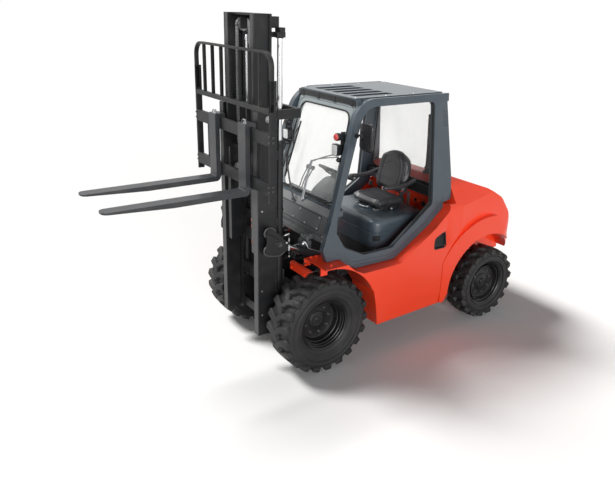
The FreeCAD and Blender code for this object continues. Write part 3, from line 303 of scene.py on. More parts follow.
def smoothLine(points, steps=8):
    # Catmull-Rom: each stretch is the cubic through its ends with the neighbours' slopes
    points = np.asarray(points, float)
    padded = np.vstack([2 * points[0] - points[1], points, 2 * points[-1] - points[-2]])
    t = np.linspace(0, 1, steps, endpoint=False)[None, :, None]
    p0, p1, p2, p3 = [padded[k:len(padded) - 3 + k][:, None] for k in range(4)]
    curve = 0.5 * (2 * p1 + (p2 - p0) * t + (2 * p0 - 5 * p1 + 4 * p2 - p3) * t ** 2
                   + (3 * p1 - p0 - 3 * p2 + p3) * t ** 3)
    return np.vstack([curve.reshape(-1, 3), points[-1:]])


def carried(line, outline, scale=None):
    # an outline carried along a line: each ring stands square to it, turned as little as possible
    line = np.asarray(line, float)
    tangent = np.gradient(line, axis=0)
    tangent /= np.linalg.norm(tangent, axis=1)[:, None]
    side = np.cross(tangent[0], [0, 0, 1.0] if abs(tangent[0][2]) < 0.9 else [0, 1.0, 0])
    sides = []
    for direction in tangent:
        side = side - direction * side.dot(direction)
        side = side / np.linalg.norm(side)
        sides.append(side)
    sides = np.array(sides)
    up = np.cross(sides, tangent)
    outline = np.asarray(outline, float)
    size = np.ones(len(line)) if scale is None else np.asarray(scale, float)
    return (line[:, None] + size[:, None, None] * (outline[None, :, :1] * sides[:, None]
                                                   + outline[None, :, 1:] * up[:, None]))


def circle(radius, sides=12):
    # points round the origin, one turn in all
    turn = np.linspace(0, 2 * math.pi, sides, endpoint=False)
    return np.stack([radius * np.cos(turn), radius * np.sin(turn)], 1)


def box2(width, height, corner=0.0, steps=3):
    # a rectangle round its centre with rounded corners
    if not corner:
        return np.array([(-width / 2, -height / 2), (width / 2, -height / 2), (width / 2, height / 2),
                         (-width / 2, height / 2)])
    turn = np.linspace(0, math.pi / 2, steps + 1)
    ring = []
    for k, (sx, sy) in enumerate(((1, 1), (-1, 1), (-1, -1), (1, -1))):
        arc = turn + k * math.pi / 2
        ring += list(zip(sx * (width / 2 - corner) + corner * np.cos(arc),
                         sy * (height / 2 - corner) + corner * np.sin(arc)))
    return np.array(ring)


def roundLoop(corners, radius, steps=6):
    # a closed outline whose corners are quadratic curves between points at the radius from each corner
    corners = np.asarray(corners, float)
    before, after = np.roll(corners, 1, 0), np.roll(corners, -1, 0)
    start = corners + (before - corners) / np.linalg.norm(before - corners, axis=1)[:, None] * radius
    end = corners + (after - corners) / np.linalg.norm(after - corners, axis=1)[:, None] * radius
    t = np.linspace(0, 1, steps)[None, :, None]
    return ((1 - t) ** 2 * start[:, None] + 2 * t * (1 - t) * corners[:, None]
            + t ** 2 * end[:, None]).reshape(-1, corners.shape[1])


class Shape:
    # points and faces gathered into one mesh
    def __init__(self):
        self.points, self.faces, self.count = [], [], 0

    def add(self, points, faces):
        points = np.asarray(points, float).reshape(-1, 3)
        self.faces += [[index + self.count for index in face] for face in faces]
        self.points.append(points)
        self.count += len(points)
        return self

    def rings(self, rings, closed=False):
        # rings joined in turn; the ends are closed by a face each
        rows, columns = rings.shape[:2]
        faces = gridFaces(rows, columns, closed, True)
        if not closed:
            faces += [list(range(columns))[::-1], [(rows - 1) * columns + k for k in range(columns)]]
        return self.add(rings, [face[::-1] for face in faces])

    def tube(self, line, radius, sides=10, steps=8):
        # a round bar along the smooth line through the points
        line = smoothLine(line, steps) if len(line) > 2 else np.asarray(line, float)
        return self.rings(carried(line, circle(radius, sides)))

    def bar(self, first, second, width, height, corner=0.0):
        # a straight bar of rectangular section between two places
        return self.rings(carried(np.array([first, second]), box2(width, height, corner)))

    def block(self, first, second):
        # a box between two opposite corners, in either order
        low, high = np.minimum(first, second), np.maximum(first, second)
        corner = np.array([[x, y, z] for x in (0, 1) for y in (0, 1) for z in (0, 1)], float)
        return self.add(low + corner * (high - low), [(0, 1, 3, 2), (4, 6, 7, 5), (0, 4, 5, 1),
                                                      (2, 3, 7, 6), (0, 2, 6, 4), (1, 5, 7, 3)])

    def lathe(self, profile, centre, axis, sides=32):
        # (along, radius) pairs turned about the axis; a radius of 0 closes the end
        profile = np.asarray(profile, float)
        axis = np.asarray(axis, float) / np.linalg.norm(axis)
        side = np.cross(axis, [0, 0, 1.0] if abs(axis[2]) < 0.9 else [1.0, 0, 0])
        side /= np.linalg.norm(side)
        up = np.cross(axis, side)
        turn = np.linspace(0, 2 * math.pi, sides, endpoint=False)
        ring = np.cos(turn)[:, None] * side + np.sin(turn)[:, None] * up
        radius = np.maximum(profile[:, 1], 1e-5)
        return self.rings(np.asarray(centre) + profile[:, :1, None] * axis + radius[:, None, None] * ring)

    def prism(self, outline, origin, across, up, thickness):
        # an outline in the plane of two directions, given thickness square to it
        outline = np.asarray(outline, float)
        across, up = np.asarray(across, float), np.asarray(up, float)
        square = np.cross(across, up)
        flat = np.asarray(origin) + outline[:, :1] * across + outline[:, 1:] * up
        count = len(outline)
        faces = [list(range(count))[::-1], list(range(count, 2 * count))]
        faces += [[k, (k + 1) % count, count + (k + 1) % count, count + k] for k in range(count)]
        return self.add(np.vstack([flat, flat + square * thickness]), faces)

    def bolts(self, places, axis, size, washer=True, head=0.55):
        # hexagon heads on washers, all pointing along the axis; size is the width across the head
        for place in places:
            start = 0.0
            if washer:
                self.lathe([(0, 0), (0, size * 0.72), (size * 0.14, size * 0.72), (size * 0.14, 0)], place,
                           axis, 14)
                start = size * 0.13
            top = start + size * head
            self.lathe([(start, 0), (start, size * 0.56), (top - size * 0.08, size * 0.56),
                        (top, size * 0.46), (top, 0)],
                       place, axis, 6)
        return self

    def piece(self, name, finish, body, slot=None, **rest):
        return makePiece(name, np.vstack(self.points), self.faces, finish, body, slot, **rest)


def baked(piece):
    # the piece's mesh as its modifiers leave it
    return bpy.data.meshes.new_from_object(piece.evaluated_get(bpy.context.evaluated_depsgraph_get()))


def makeBlended(name, shape, finish, low, high, smooth=False):
    # a mesh with its finish, shaded smooth if asked and fixed where it stands, tied to no body. The low and
    # high places are not used
    mesh = bpy.data.meshes.new(name)
    mesh.from_pydata(np.vstack(shape.points).tolist(), [], shape.faces)
    if smooth:
        mesh.shade_smooth()
    mesh.materials.append(finishes[finish])
    piece = bpy.data.objects.new(name, mesh)
    bpy.context.scene.collection.objects.link(piece)
    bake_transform(piece)
    return piece


def sideName(side):
    return "left" if side > 0 else "right"


# tyres: a turned carcass with hooked lugs in two staggered rows
tread = {"lugHeight": 0.034, "lugWidth": 0.074, "hook": 0.05, "slant": 0.046, "frontLugs": 21,
         "rearLugs": 18, "bead": 0.2325,
         "ribs": ((0.28, 0.472), (0.46, 0.488), (0.5, 0.499), (0.54, 0.487), (0.68, 0.486), (0.71, 0.498),
                  (0.75, 0.498), (0.78, 0.484))}


def lugRow(radius, width, count, side, lead):
    # a lug is a six-point cross-section carried over the crown and down the shoulder; its middle line is
    # (across, along the tread, height) for s from 0 at the centre to 1 on the sidewall
    s = np.linspace(0, 1, 11)
    across = side * width * np.interp(s, [0, 0.1, 0.8, 0.92, 1], [-0.05, 0.03, 0.475, 0.499, 0.5])
    along = (tread["hook"] * np.exp(-(s / 0.13) ** 2)
             - tread["slant"] * np.interp(s, [0.1, 0.75, 1], [0, 1, 1.05]))
    crown = radius - np.interp(s, [0, 0.5, 0.8, 0.92, 1], [0.001, 0.003, 0.01, 0.026, 0.05])
    depth = tread["lugHeight"] * np.interp(s, [0, 0.08, 0.8, 1], [0.8, 1.1, 1.1, 0.45])
    half = tread["lugWidth"] / 2 * np.interp(s, [0, 0.08, 0.3, 0.7, 1], [0.5, 0.86, 0.8, 1.02, 0.9])
    slope = np.stack([np.gradient(across), np.gradient(along)], 1)
    slope /= np.linalg.norm(slope, axis=1)[:, None]
    share = np.array([-1.22, -0.94, -0.74, 0.74, 0.94, 1.22])
    level = np.array([1.0, 0.16, 0.0, 0.0, 0.16, 1.0])
    y = across[:, None] - slope[:, 1:] * share * half[:, None] * side
    along = along[:, None] + slope[:, :1] * share * half[:, None] * side
    y = np.clip(y, -0.5 * width, 0.5 * width)
    high = crown[:, None] - depth[:, None] * level
    turn = (np.arange(count) + lead) * 2 * math.pi / count
    angle = turn[:, None, None] + along / radius
    return np.stack([high * np.sin(angle), np.broadcast_to(y, angle.shape), high * np.cos(angle)], 3)


def makeTyre(node, body, count, outward):
    # the section runs from bead to bead over ribbed walls and a round shoulder, and is turned in 96 steps
    low, high = [np.array(corner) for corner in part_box(node)]
    centre, width = (low + high) / 2, high[1] - low[1]
    radius = (high[2] - low[2]) / 2
    bead = tread["bead"]
    floorRadius = radius - tread["lugHeight"]
    share = [(bead, -0.335), (bead + 0.012, -0.37), (bead + 0.03, -0.4), (bead + 0.05, -0.452)]
    share += [(bead + (floorRadius - bead) * rise, -across) for rise, across in tread["ribs"]]
    share += [(floorRadius - 0.045, -0.488), (floorRadius - 0.02, -0.47), (floorRadius - 0.006, -0.42),
              (floorRadius, -0.33)]
    ring = share + [(r, -across) for r, across in share[::-1]]
    profile = np.array([(across * width, r) for r, across in ring])
    fine = smoothLine(np.column_stack([profile, np.zeros(len(profile))]), 3)[:, :2]
    shape = Shape()
    turn = np.linspace(0, 2 * math.pi, 96, endpoint=False)
    grid = np.stack([fine[None, :, 1] * np.sin(turn)[:, None], np.broadcast_to(fine[:, 0], (96, len(fine))),
                     fine[None, :, 1] * np.cos(turn)[:, None]], 2)
    shape.add(grid + centre, [face[::-1] for face in gridFaces(96, len(fine), True, True)])
    for side, lead in ((outward, 0.0), (-outward, 0.5)):
        for lug in lugRow(radius, width, count, side, lead):
            rows, columns = lug.shape[:2]
            faces = gridFaces(rows, columns, False, True)
            faces += [list(range(columns))[::-1], [(rows - 1) * columns + k for k in range(columns)]]
            shape.add(lug + centre, faces)
    recalculate(shape.piece(node + "_tread", "tyre", body, "tyre_rubber", crease=44, replaces=(node,)))


def recalculate(piece):
    # every face of the piece turned outwards
    work = bmesh.new()
    work.from_mesh(piece.data)
    bmesh.ops.recalc_face_normals(work, faces=work.faces)
    work.to_mesh(piece.data)
    work.free()
    return piece


for corner in ("front_left", "front_right", "rear_left", "rear_right"):
    makeTyre("tyre_" + corner, "wheel_" + corner, tread["frontLugs" if "front" in corner else "rearLugs"],
             1 if "left" in corner else -1)
print("tyres made")


# rims: deep dish, stepped barrel, a ring of nuts round the hub, valve
rims = {"nuts": 8, "nutCircle": 0.132, "nutSize": 0.019, "lip": 0.2515, "frontDisc": -0.033,
        "rearDisc": 0.0185}


def makeRim(node, body, outward, disc):
    # steps of the barrel from the lips in to a disc that lies `disc` outside the tyre's middle
    low, high = [np.array(corner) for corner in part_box(node)]
    tyreLow, tyreHigh = [np.array(corner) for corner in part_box(node.replace("rim", "tyre"))]
    centre = (tyreLow + tyreHigh) / 2
    half = (tyreHigh[1] - tyreLow[1]) * 0.4
    face = disc + 0.014
    outer = [(face + 0.03, 0.0), (face + 0.03, 0.03), (face + 0.026, 0.036), (face + 0.016, 0.04),
             (face + 0.014, 0.078), (face + 0.01, 0.086), (face + 0.002, 0.09), (face, 0.1), (face, 0.172),
             (face + 0.004, 0.184), (face + 0.018, 0.193), (face + 0.05, 0.198), (face + 0.054, 0.205),
             (half - 0.06, 0.207), (half - 0.056, 0.214), (half - 0.036, 0.216), (half - 0.032, 0.224),
             (half - 0.015, 0.227), (half - 0.01, 0.237), (half - 0.002, 0.243), (half, 0.249),
             (half - 0.003, rims["lip"]), (half - 0.012, 0.2505), (half - 0.014, 0.232)]
    inner = [(-half + 0.014, 0.232), (-half + 0.012, 0.2505), (-half + 0.002, rims["lip"]), (-half, 0.246),
             (-half + 0.01, 0.224), (-half + 0.03, 0.218), (disc - 0.03, 0.212), (disc - 0.002, 0.19),
             (disc, 0.16), (disc, 0.0965)]
    hubBack = (low[1] - centre[1]) if outward > 0 else -(high[1] - centre[1])
    inner += [(hubBack, 0.0955), (hubBack, 0.0505), (face + 0.004, 0.0505), (face + 0.004, 0.0)]
    shape = Shape().lathe(outer + inner, centre, (0, outward, 0), 72)
    recalculate(shape.piece(node + "_dish", "rim", body, "rim_black", crease=30, replaces=(node,)))
    turn = np.arange(rims["nuts"]) * 2 * math.pi / rims["nuts"] + 0.2
    places = centre + np.stack([rims["nutCircle"] * np.sin(turn), np.full(rims["nuts"], outward * face),
                                rims["nutCircle"] * np.cos(turn)], 1)
    nuts = Shape().bolts(places, (0, outward, 0), rims["nutSize"], head=0.7)
    small = [centre + (0.018 * math.sin(k * 2.09), outward * (face + 0.03), 0.018 * math.cos(k * 2.09))
             for k in range(3)]
    nuts.bolts(small, (0, outward, 0), 0.009, washer=False)
    nuts.piece(node + "_nuts", "worn", body, "chain_steel")
    stem = [centre + (0.17, outward * (half - 0.04), 0.116),
            centre + (0.174, outward * (half - 0.03), 0.118),
            centre + (0.168, outward * (half - 0.006), 0.114)]
    Shape().tube(stem, 0.004, 8).piece(node + "_valve", "steel", body, "chain_steel")


for corner in ("front_left", "front_right", "rear_left", "rear_right"):
    makeRim("rim_" + corner, "wheel_" + corner, 1 if "left" in corner else -1,
            rims["frontDisc" if "front" in corner else "rearDisc"])
print("rims made")


# lift chains: plates in fours and threes on pins, carried up to and over the pulleys
chain = {"pitch": 0.0254, "plate": 0.0215, "pin": 0.0045, "plateThickness": 0.0029,
         "across": (-0.118, 0.118), "lift": 0.007, "anchor": (302, 1951)}


def linkMesh(odd):
    # flat eyes joined at the waist, side by side along Y, and the pin at the upper eye
    turn = np.linspace(0, math.pi, 5)
    half, eye, waist = chain["pitch"] / 2, chain["plate"] / 2, chain["plate"] * 0.36
    top = np.stack([eye * np.cos(turn), half + eye * np.sin(turn)], 1)
    outline = np.vstack([top, [(-waist, 0)], -top, [(waist, 0)]])
    offsets = (np.arange(4) - 1.5) * 2 if odd else (np.arange(3) - 1) * 2
    shape = Shape()
    for offset in offsets:
        shape.prism(outline, (0, (offset + 0.5) * chain["plateThickness"], 0), (1, 0, 0), (0, 0, 1),
                    chain["plateThickness"])
    if odd:
        for end in (half, -half):
            shape.lathe([(-0.0118, 0), (-0.0118, chain["pin"]), (0.0118, chain["pin"]), (0.0118, 0)],
                        (0, 0, end), (0, 1, 0), 8)
    return np.vstack(shape.points), shape.faces


def chainColumn(x, top, count):
    # links hung one below another at both sides
    shape = Shape()
    for y in chain["across"]:
        for k in range(count):
            points, faces = linkMesh(k % 2 == 0)
            shape.add(points + (x, y, top - (k + 0.5) * chain["pitch"]), faces)
    return shape


def makeChainRun(node):
    # a run hangs between a fixed end and the pulleys
    low, high = [np.array(corner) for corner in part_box(node)]
    shape = chainColumn((low[0] + high[0]) / 2, high[2], int((high[2] - low[2]) / chain["pitch"]))
    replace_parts(makeBlended(node + "_links", shape, "steel",
                            (high[0], 0, low[2] + 0.02), (high[0], 0, high[2] - 0.02)), node)


def makeChainWrap():
    # links laid round the upper half of each pulley, 30 degrees apart
    low, high = [np.array(corner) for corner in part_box("chain_pulleys")]
    centre = (low + high) / 2
    radius = (high[0] - low[0]) / 2 + chain["lift"]
    wrap = Shape()
    for y in chain["across"]:
        for k in range(6):
            points, faces = linkMesh(k % 2 == 0)
            angle = math.radians(15 + k * 30)
            out = np.array([math.cos(angle), 0, math.sin(angle)])
            along = np.array([-math.sin(angle), 0, math.cos(angle)])
            turned = points[:, :1] * out + points[:, 1:2] * (0, 1, 0) + points[:, 2:] * along
            wrap.add(turned + centre * (1, 0, 1) + (0, y, 0) + out * radius, faces)
    wrap.piece("chain_wrap", "steel", "mast_inner", "chain_steel")


def makeChainAnchors():
    # a threaded rod with two nuts under each rear run
    anchors = Shape()
    for y in chain["across"]:
        foot = at(chain["anchor"][0], y * 1000, chain["anchor"][1])
        anchors.lathe([(0, 0), (0, 0.008), (0.085, 0.008), (0.085, 0)], foot, (0, 0, 1), 12)
        anchors.bolts([foot + (0, 0, rise) for rise in (0.037, 0.015)], (0, 0, 1), 0.024, washer=False)
    anchors.piece("chain_anchor_rods", "zinc", "mast_outer", "chain_steel")


makeChainRun("chain_front")
makeChainRun("chain_rear")
makeChainWrap()
makeChainAnchors()
print("chains made")


# carriage, backrest and forks
def carriageDetail():
    # bolts, the bar's notches, fork locks, heel welds and guide rollers
    bolts = Shape()
    for side in (1, -1):
        bolts.bolts([at(560, side * 667.5, z) for z in (1790, 1828, 2190, 2236)], (1, 0, 0), 0.0132)
        bolts.bolts([at(530, side * 677.5, z) for z in (1796, 1832, 2190, 2230)], (0, side, 0), 0.015)
    bolts.piece("carriage_bolts", "worn", "carriage", "chain_steel", bevel=0.0008)
    notches = Shape()
    for y in range(-560, 561, 80):
        notches.block(at(531, y - 11, 2259.5), at(549, y + 11, 2261.2))
    notches.piece("bar_notches", "mast", "carriage", "mast_black", bevel=0.001)
    locks = {"left": 300, "right": -246}
    for side, y in locks.items():
        lock = Shape().lathe([(0, 0), (0, 0.011), (0.03, 0.011), (0.032, 0.009), (0.032, 0)],
                             at(583, y + 22, 2292), (0, 0, 1), 16)
        lock.tube([at(583, y + 22, 2318), at(583, y + 2, 2322), at(583, y - 22, 2314),
                   at(583, y - 30, 2300)], 0.0045, 8)
        lock.lathe([(0, 0), (0, 0.02), (0.008, 0.02), (0.008, 0)], at(583, y + 22, 2291), (0, 0, 1), 20)
        lock.piece("fork_lock_" + side, "steel", "fork_" + side, "chain_steel")
        heel = Shape()
        heel.rings(carried(np.array([at(606, y - 52, 1748), at(606, y + 52, 1748)]),
                           box2(0.012, 0.004, 0.0015)))
        heel.piece("fork_weld_" + side, "fork", "fork_" + side, "fork_steel")
    rollers = Shape()
    for side in (1, -1):
        for z in (1800, 2210):
            rollers.lathe([(0, 0), (0, 0.03), (0.004, 0.034), (0.03, 0.034), (0.034, 0.03), (0.034, 0)],
                          at(378, side * 200, z), (0, side, 0), 24)
    rollers.piece("carriage_rollers", "steel", "carriage", "chain_steel")


carriageDetail()
guard = {"rail": 2.426, "bars": 7, "spacing": 0.1657, "barWidth": 0.012, "barDepth": 0.032, "bend": 0.108,
         "legs": (1.7, 2.66), "leg": (0.06, 0.02)}


def makeGuard():
    # a bent flat bar round the top, a bottom rail and upright flat bars set edge-on, all welded
    low, high = [np.array(corner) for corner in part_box("load_backrest")]
    half, top, middle = (high[1] - low[1]) / 2 - 0.01, high[2] - 0.012, high[0] - 0.02
    turn = np.linspace(0, math.pi / 2, 9)
    bend = guard["bend"]
    left = [(half, guard["rail"])] + [(half - bend + bend * math.cos(a), top - bend + bend * math.sin(a))
                                      for a in turn]
    outline = np.array(left + [(-y, z) for y, z in left[::-1]])
    rings = carried(np.column_stack([np.full(len(outline), middle), outline]),
                    box2(0.02, 0.04, 0.004, 2)[:, ::-1])
    frameBar = Shape().rings(rings)
    frameBar.bar((middle, -half, guard["rail"]), (middle, half, guard["rail"]), 0.04, 0.04, 0.004)
    for k in range(guard["bars"]):
        y = (k - (guard["bars"] - 1) / 2) * guard["spacing"]
        frameBar.bar((middle + 0.002, y, guard["rail"]), (middle + 0.002, y, top), guard["barDepth"],
                     guard["barWidth"], 0.002)
    for side in (1, -1):
        foot, head = [(high[0] - 0.03, side * half, z) for z in guard["legs"]]
        frameBar.bar(foot, head, *guard["leg"], 0.003)
        frameBar.bar((middle, side * (half - 0.006), guard["rail"] + 0.02),
                     (middle, side * (half - 0.05), guard["rail"] + 0.02), 0.006, 0.03)
    recalculate(frameBar.piece("guard_bars", "mast", "carriage", "mast_black", replaces=("load_backrest",)))


makeGuard()
print("carriage dressed")


# mast: cylinder glands and caps, hoses, studs, tilt pin keepers and the cheeks of the tilt ears
mastDetail = {"gland": 0.044, "railFace": 344.2, "earHose": 440}


def mastDetails():
    # on both sides: gland, cap, feed and clamps of the lift cylinder, keepers, studs, lighter strips on the
    # rail edges and flange faces as painted highlights, and ear
    for side in (1, -1):
        word = sideName(side)
        y = side * 291
        gland = Shape().lathe([(0, 0.0255), (0, 0.042), (0.006, mastDetail["gland"]),
                               (0.03, mastDetail["gland"]), (0.036, 0.04),
                               (0.05, 0.038), (0.052, 0.034), (0.052, 0.0255)], at(238, y, 2064), (0, 0, 1),
                              32)
        gland.piece("lift_gland_" + word, "mast", "mast_outer", "mast_black")
        cap = Shape().lathe([(0, 0), (0, 0.03), (0.012, 0.034), (0.03, 0.034), (0.036, 0.03),
                             (0.036, 0.012), (0.05, 0.012), (0.05, 0)],
                            at(238, y, 2944), (0, 0, 1), 24)
        cap.block(at(214, side * 252, 2991), at(262, side * 333, 3027))
        cap.block(at(226, side * 180, 3020), at(296, side * 256, 3108))
        cap.piece("lift_cap_" + word, "mast", "mast_inner", "mast_black", bevel=0.001)
        elbow = Shape().tube([at(238, y, 700), at(225, y, 700), at(196, y, 706), at(184, y, 740),
                              at(182, y, 900)], 0.009, 10)
        elbow.bolts([at(200, y, 702)], (-1, 0, 0), 0.03, washer=False, head=0.8)
        elbow.piece("lift_feed_" + word, "hose", "mast_outer", "black_plastic")
        clamps = Shape()
        for z in (900, 1500, 1900):
            clamps.lathe([(-0.012, 0.0375), (-0.012, 0.043), (0.012, 0.043), (0.012, 0.0375)],
                         at(238, y, z), (0, 0, 1), 28)
            clamps.block(at(273, y - 14, z - 12), at(290, y + 14, z + 12))
        clamps.piece("lift_clamps_" + word, "mast", "mast_outer", "mast_black")
        pins = Shape().bolts([at(306, side * 426.3, 1216)], (0, side, 0), 0.034)
        pins.block(at(318, side * 422, 1226), at(352, side * 428, 1240))
        pins.bolts([at(346, side * 427.5, 1233)], (0, side, 0), 0.013, washer=False)
        pins.piece("tilt_keeper_" + word, "worn", "mast_outer", "chain_steel")
        stubs = Shape()
        face = side * mastDetail["railFace"]
        stubs.bolts([at(379, face, 2310)], (0, side, 0), 0.04, head=0.3)
        stubs.bolts([at(440, face, z) for z in (520, 760, 1520)], (0, side, 0), 0.012)
        stubs.piece("outer_rail_studs_" + word, "steel", "mast_outer", "chain_steel")
        # painted highlights: thin lighter strips along the front and back edges of the outer rail
        edge = Shape()
        for x in (476.5, 297):
            edge.bar(at(x, side * 344.6, 330), at(x, side * 344.6, 2372), 0.0018, 0.007)
        edge.piece("outer_rail_edge_highlights_" + word, "fork", "mast_outer", "mast_black")
        # painted highlight: the flanges' front faces, which face the light, are drawn lighter in the worn
        # steel finish
        for part, body, face, reach, low, high in (("outer", "mast_outer", 480, (272, 343), 318, 2370),
                                                   ("inner", "mast_inner", 460, (194, 241), 1100, 3124)):
            rub = Shape().block(at(face - 0.5, side * reach[0], low), at(face + 0.5, side * reach[1], high))
            rub.piece(part + "_flange_highlight_" + word, "worn", body, "mast_black")
        ear = [(440, 1368), (392, 1383), (301, 1302), (216, 1200), (226, 1142), (310, 1110), (446, 1136),
               (456, 1200), (436, 1262), (446, 1330)]
        curve = roundLoop(ear, 22, 5)
        cheek = Shape().prism([(x / 1000, z / 1000) for x, z in curve], at(0, side * 429, 0), (1, 0, 0),
                              (0, 0, 1), 0.003)
        recalculate(cheek.piece("tilt_ear_cheek_" + word, "mast", "mast_outer", "mast_black"))
    # a hose with crimped ends comes down past the back edge of each ear
    for side in (1, -1):
        word = sideName(side)
        y = side * mastDetail["earHose"]
        line = [at(x, y, z) for x, z in ((292, 1296), (264, 1300), (238, 1304), (222, 1276), (219, 1176),
                                         (217, 1090))]
        Shape().tube(line, 0.0065, 10).piece("ear_hose_" + word, "hose", "mast_outer", "black_plastic")
        drop = Shape()
        for (x, z), (radius, length), axis in (((268, 1299), (0.009, 0.05), (-1, 0, 0.15)),
                                               ((220, 1236), (0.0095, 0.03), (0, 0, 1)),
                                               ((219, 1148), (0.0125, 0.054), (0, 0, 1)),
                                               ((217, 1086), (0.008, 0.024), (0, 0, 1))):
            drop.lathe([(0, 0), (0, radius * 0.8), (length * 0.1, radius), (length * 0.6, radius),
                        (length * 0.66, radius * 0.75),
                        (length, radius * 0.75), (length, 0)], at(x, y, z), axis, 16)
        drop.bolts([at(238, side * 432, 1222)], (0, side, 0), 0.014)
        inner = 432 if side > 0 else -447
        drop.block(at(212, inner, 1217), at(244, inner + 2, 1227))
        drop.piece("ear_fittings_" + word, "zinc", "mast_outer", "chain_steel")
    rim = Shape()
    for line in ([(458, 1318), (466, 1350), (450, 1380), (420, 1390), (388, 1385), (352, 1354)],
                 [(452, 1222), (468, 1196), (462, 1160), (430, 1136), (350, 1118), (306, 1118),
                  (262, 1140)]):
        rim.tube(smoothLine(np.array([at(x, 432, z) for x, z in line]), 4), 0.007, 8)
    rim.piece("tilt_ear_rim", "worn", "mast_outer", "mast_black")


mastDetails()


def mastHoses():
    # paired hoses rise between the rails towards the top of the inner mast
    for k, y in enumerate((-56, -34, 34, 56)):
        up = Shape().tube([at(326, y, 1380), at(326, y, 1700), at(326, y * 0.96, 2000), at(326, y, 2400),
                           at(330, y, 2880)], 0.0085, 10)
        makeBlended("mast_hose_%d" % k, up, "hose",
                    tuple(at(326, 0, 1500)), tuple(at(326, 0, 2800)), True)


mastHoses()
print("mast dressed")


# cab glass seals and the windscreen's surround
screen = {"foot": (-224, 0, 1490), "lean": 15, "height": 920, "lowHalf": 528, "topHalf": 450, "border": 62,
          "corner": 95, "drop": 48}


def onScreen(across, up, out):
    # a place on the leaning windscreen: across to the left, up the slope, out in front of it, in mm
    lean = math.radians(screen["lean"])
    foot = np.array(screen["foot"], float)
    flat = foot + np.array([0, 1.0, 0]) * across + np.array([-math.sin(lean), 0, math.cos(lean)]) * up
    return at(*(flat + np.array([math.cos(lean), 0, math.sin(lean)]) * out))


def sealLoop(name, loop, size, finish, body="chassis"):
    # a rubber section carried round a flat closed loop, square to the loop's plane
    line = np.asarray(loop)
    middle = line.mean(0)
    ahead, behind = np.roll(line, -1, 0), np.roll(line, 1, 0)
    tangent = (ahead - behind) / np.linalg.norm(ahead - behind, axis=1)[:, None]
    normal = np.cross(line[1] - line[0], middle - line[0])
    normal /= np.linalg.norm(normal)
    across = np.cross(normal, tangent)
    outline = box2(size[0], size[1], min(size) * 0.35, 2)
    rings = line[:, None] + outline[None, :, :1] * across[:, None] + outline[None, :, 1:] * normal
    shape = Shape().rings(rings, True)
    return recalculate(shape.piece(name, finish, body, "black_plastic"))


def glassSeals():
    # seals round the windscreen, the rear window and both open sides
    inset = screen["border"] + 2
    low, high = screen["lowHalf"] - inset, screen["topHalf"] - inset
    foot = inset - screen["drop"]
    corners = [(-low - 1.3, foot), (low + 1.3, foot), (high, screen["height"] - inset),
               (-high, screen["height"] - inset)]
    loop = roundLoop(corners, screen["corner"])
    sealLoop("windscreen_seal", [onScreen(a, b, 1) for a, b in loop], (0.016, 0.012), "gasket")
    outer = [(-screen["lowHalf"] + 16, 14), (screen["lowHalf"] - 16, 14),
             (screen["topHalf"] - 14, screen["height"] - 16),
             (-screen["topHalf"] + 14, screen["height"] - 16)]
    sealLoop("windscreen_flange", [onScreen(a, b, 1) for a, b in roundLoop(outer, 110)], (0.012, 0.008),
             "lightGrey")
    pane = [(-1487, a, b) for a, b in roundLoop([(-508, 1518), (508, 1518), (444, 2362), (-444, 2362)], 60)]
    sealLoop("rear_window_seal", [at(*p) for p in pane], (0.018, 0.014), "gasket")
    for side in (1, -1):
        opening = [(-182, 1400), (-175, 1290), (-260, 1140), (-480, 1030), (-840, 1030), (-1350, 1385),
                   (-1344, 2376), (-505, 2376), (-425, 2159), (-318, 1821)]
        loop = roundLoop(opening, 60, 5)
        places = [at(x, side * (614 - (z - 1000) * 0.0875), z) for x, z in loop]
        sealLoop("door_seal_" + sideName(side), places, (0.012, 0.018), "gasket")


glassSeals()


# windscreen wiper and the bent pair of tubes before the glass
wiper = {"blade": ((-342, -255, 2143), (-197, -304, 1602)),
         "arm": ((-150, -42, 1462), (-194, -178, 1592), (-239, -305, 1758))}


def makeWiper():
    # a blade under bows, its twin arm, and beside them two tubes on one foot
    first, last = [np.array(at(*p)) for p in wiper["blade"]]
    shape = Shape()
    shape.bar(first, last, 0.008, 0.02, 0.002)
    reach = last - first
    for start, end in ((0.08, 0.46), (0.54, 0.92)):
        a, b = first + reach * start, first + reach * end
        shape.tube([a, (a + b) / 2 + np.array([0.03, 0, 0.008]), b], 0.005, 8)
    shape.tube([first + reach * 0.27 + (0.026, 0, 0.006), first + reach * 0.5 + (0.042, 0, 0.01),
                first + reach * 0.73 + (0.026, 0, 0.006)],
               0.006, 8)
    shape.piece("wiper_blade", "gasket", "chassis", "black_plastic")
    arm = Shape()
    for shift in (-9, 9):
        arm.tube([at(x + 22, y + shift, z) for x, y, z in wiper["arm"]], 0.0045, 8)
    arm.lathe([(0, 0), (0, 0.016), (0.02, 0.016), (0.028, 0.011), (0.028, 0)], at(-132, -42, 1440),
              (0.4, 0, 0.9), 20)
    arm.block(at(-222, -322, 1750), at(-206, -292, 1776))
    arm.piece("wiper_arm", "worn", "chassis", "chain_steel")
    tube = Shape()
    for shift in (-10, 10):
        tube.tube([at(-176, 47 + shift, 1462), at(-186, 48 + shift, 1520), at(-240, 76 + shift, 1800),
                   at(-262, 120 + shift * 0.6, 1850),
                   at(-276, 330, 1922 + shift), at(-300, 424, 1944 + shift)], 0.006, 8)
    tube.block(at(-190, 30, 1452), at(-160, 64, 1466))
    tube.piece("lamp_stay_tubes", "zinc", "chassis", "chain_steel")


makeWiper()


# lamps on their brackets at both front posts
lamps = {"clearSize": (0.088, 0.104), "redRadius": 0.031}


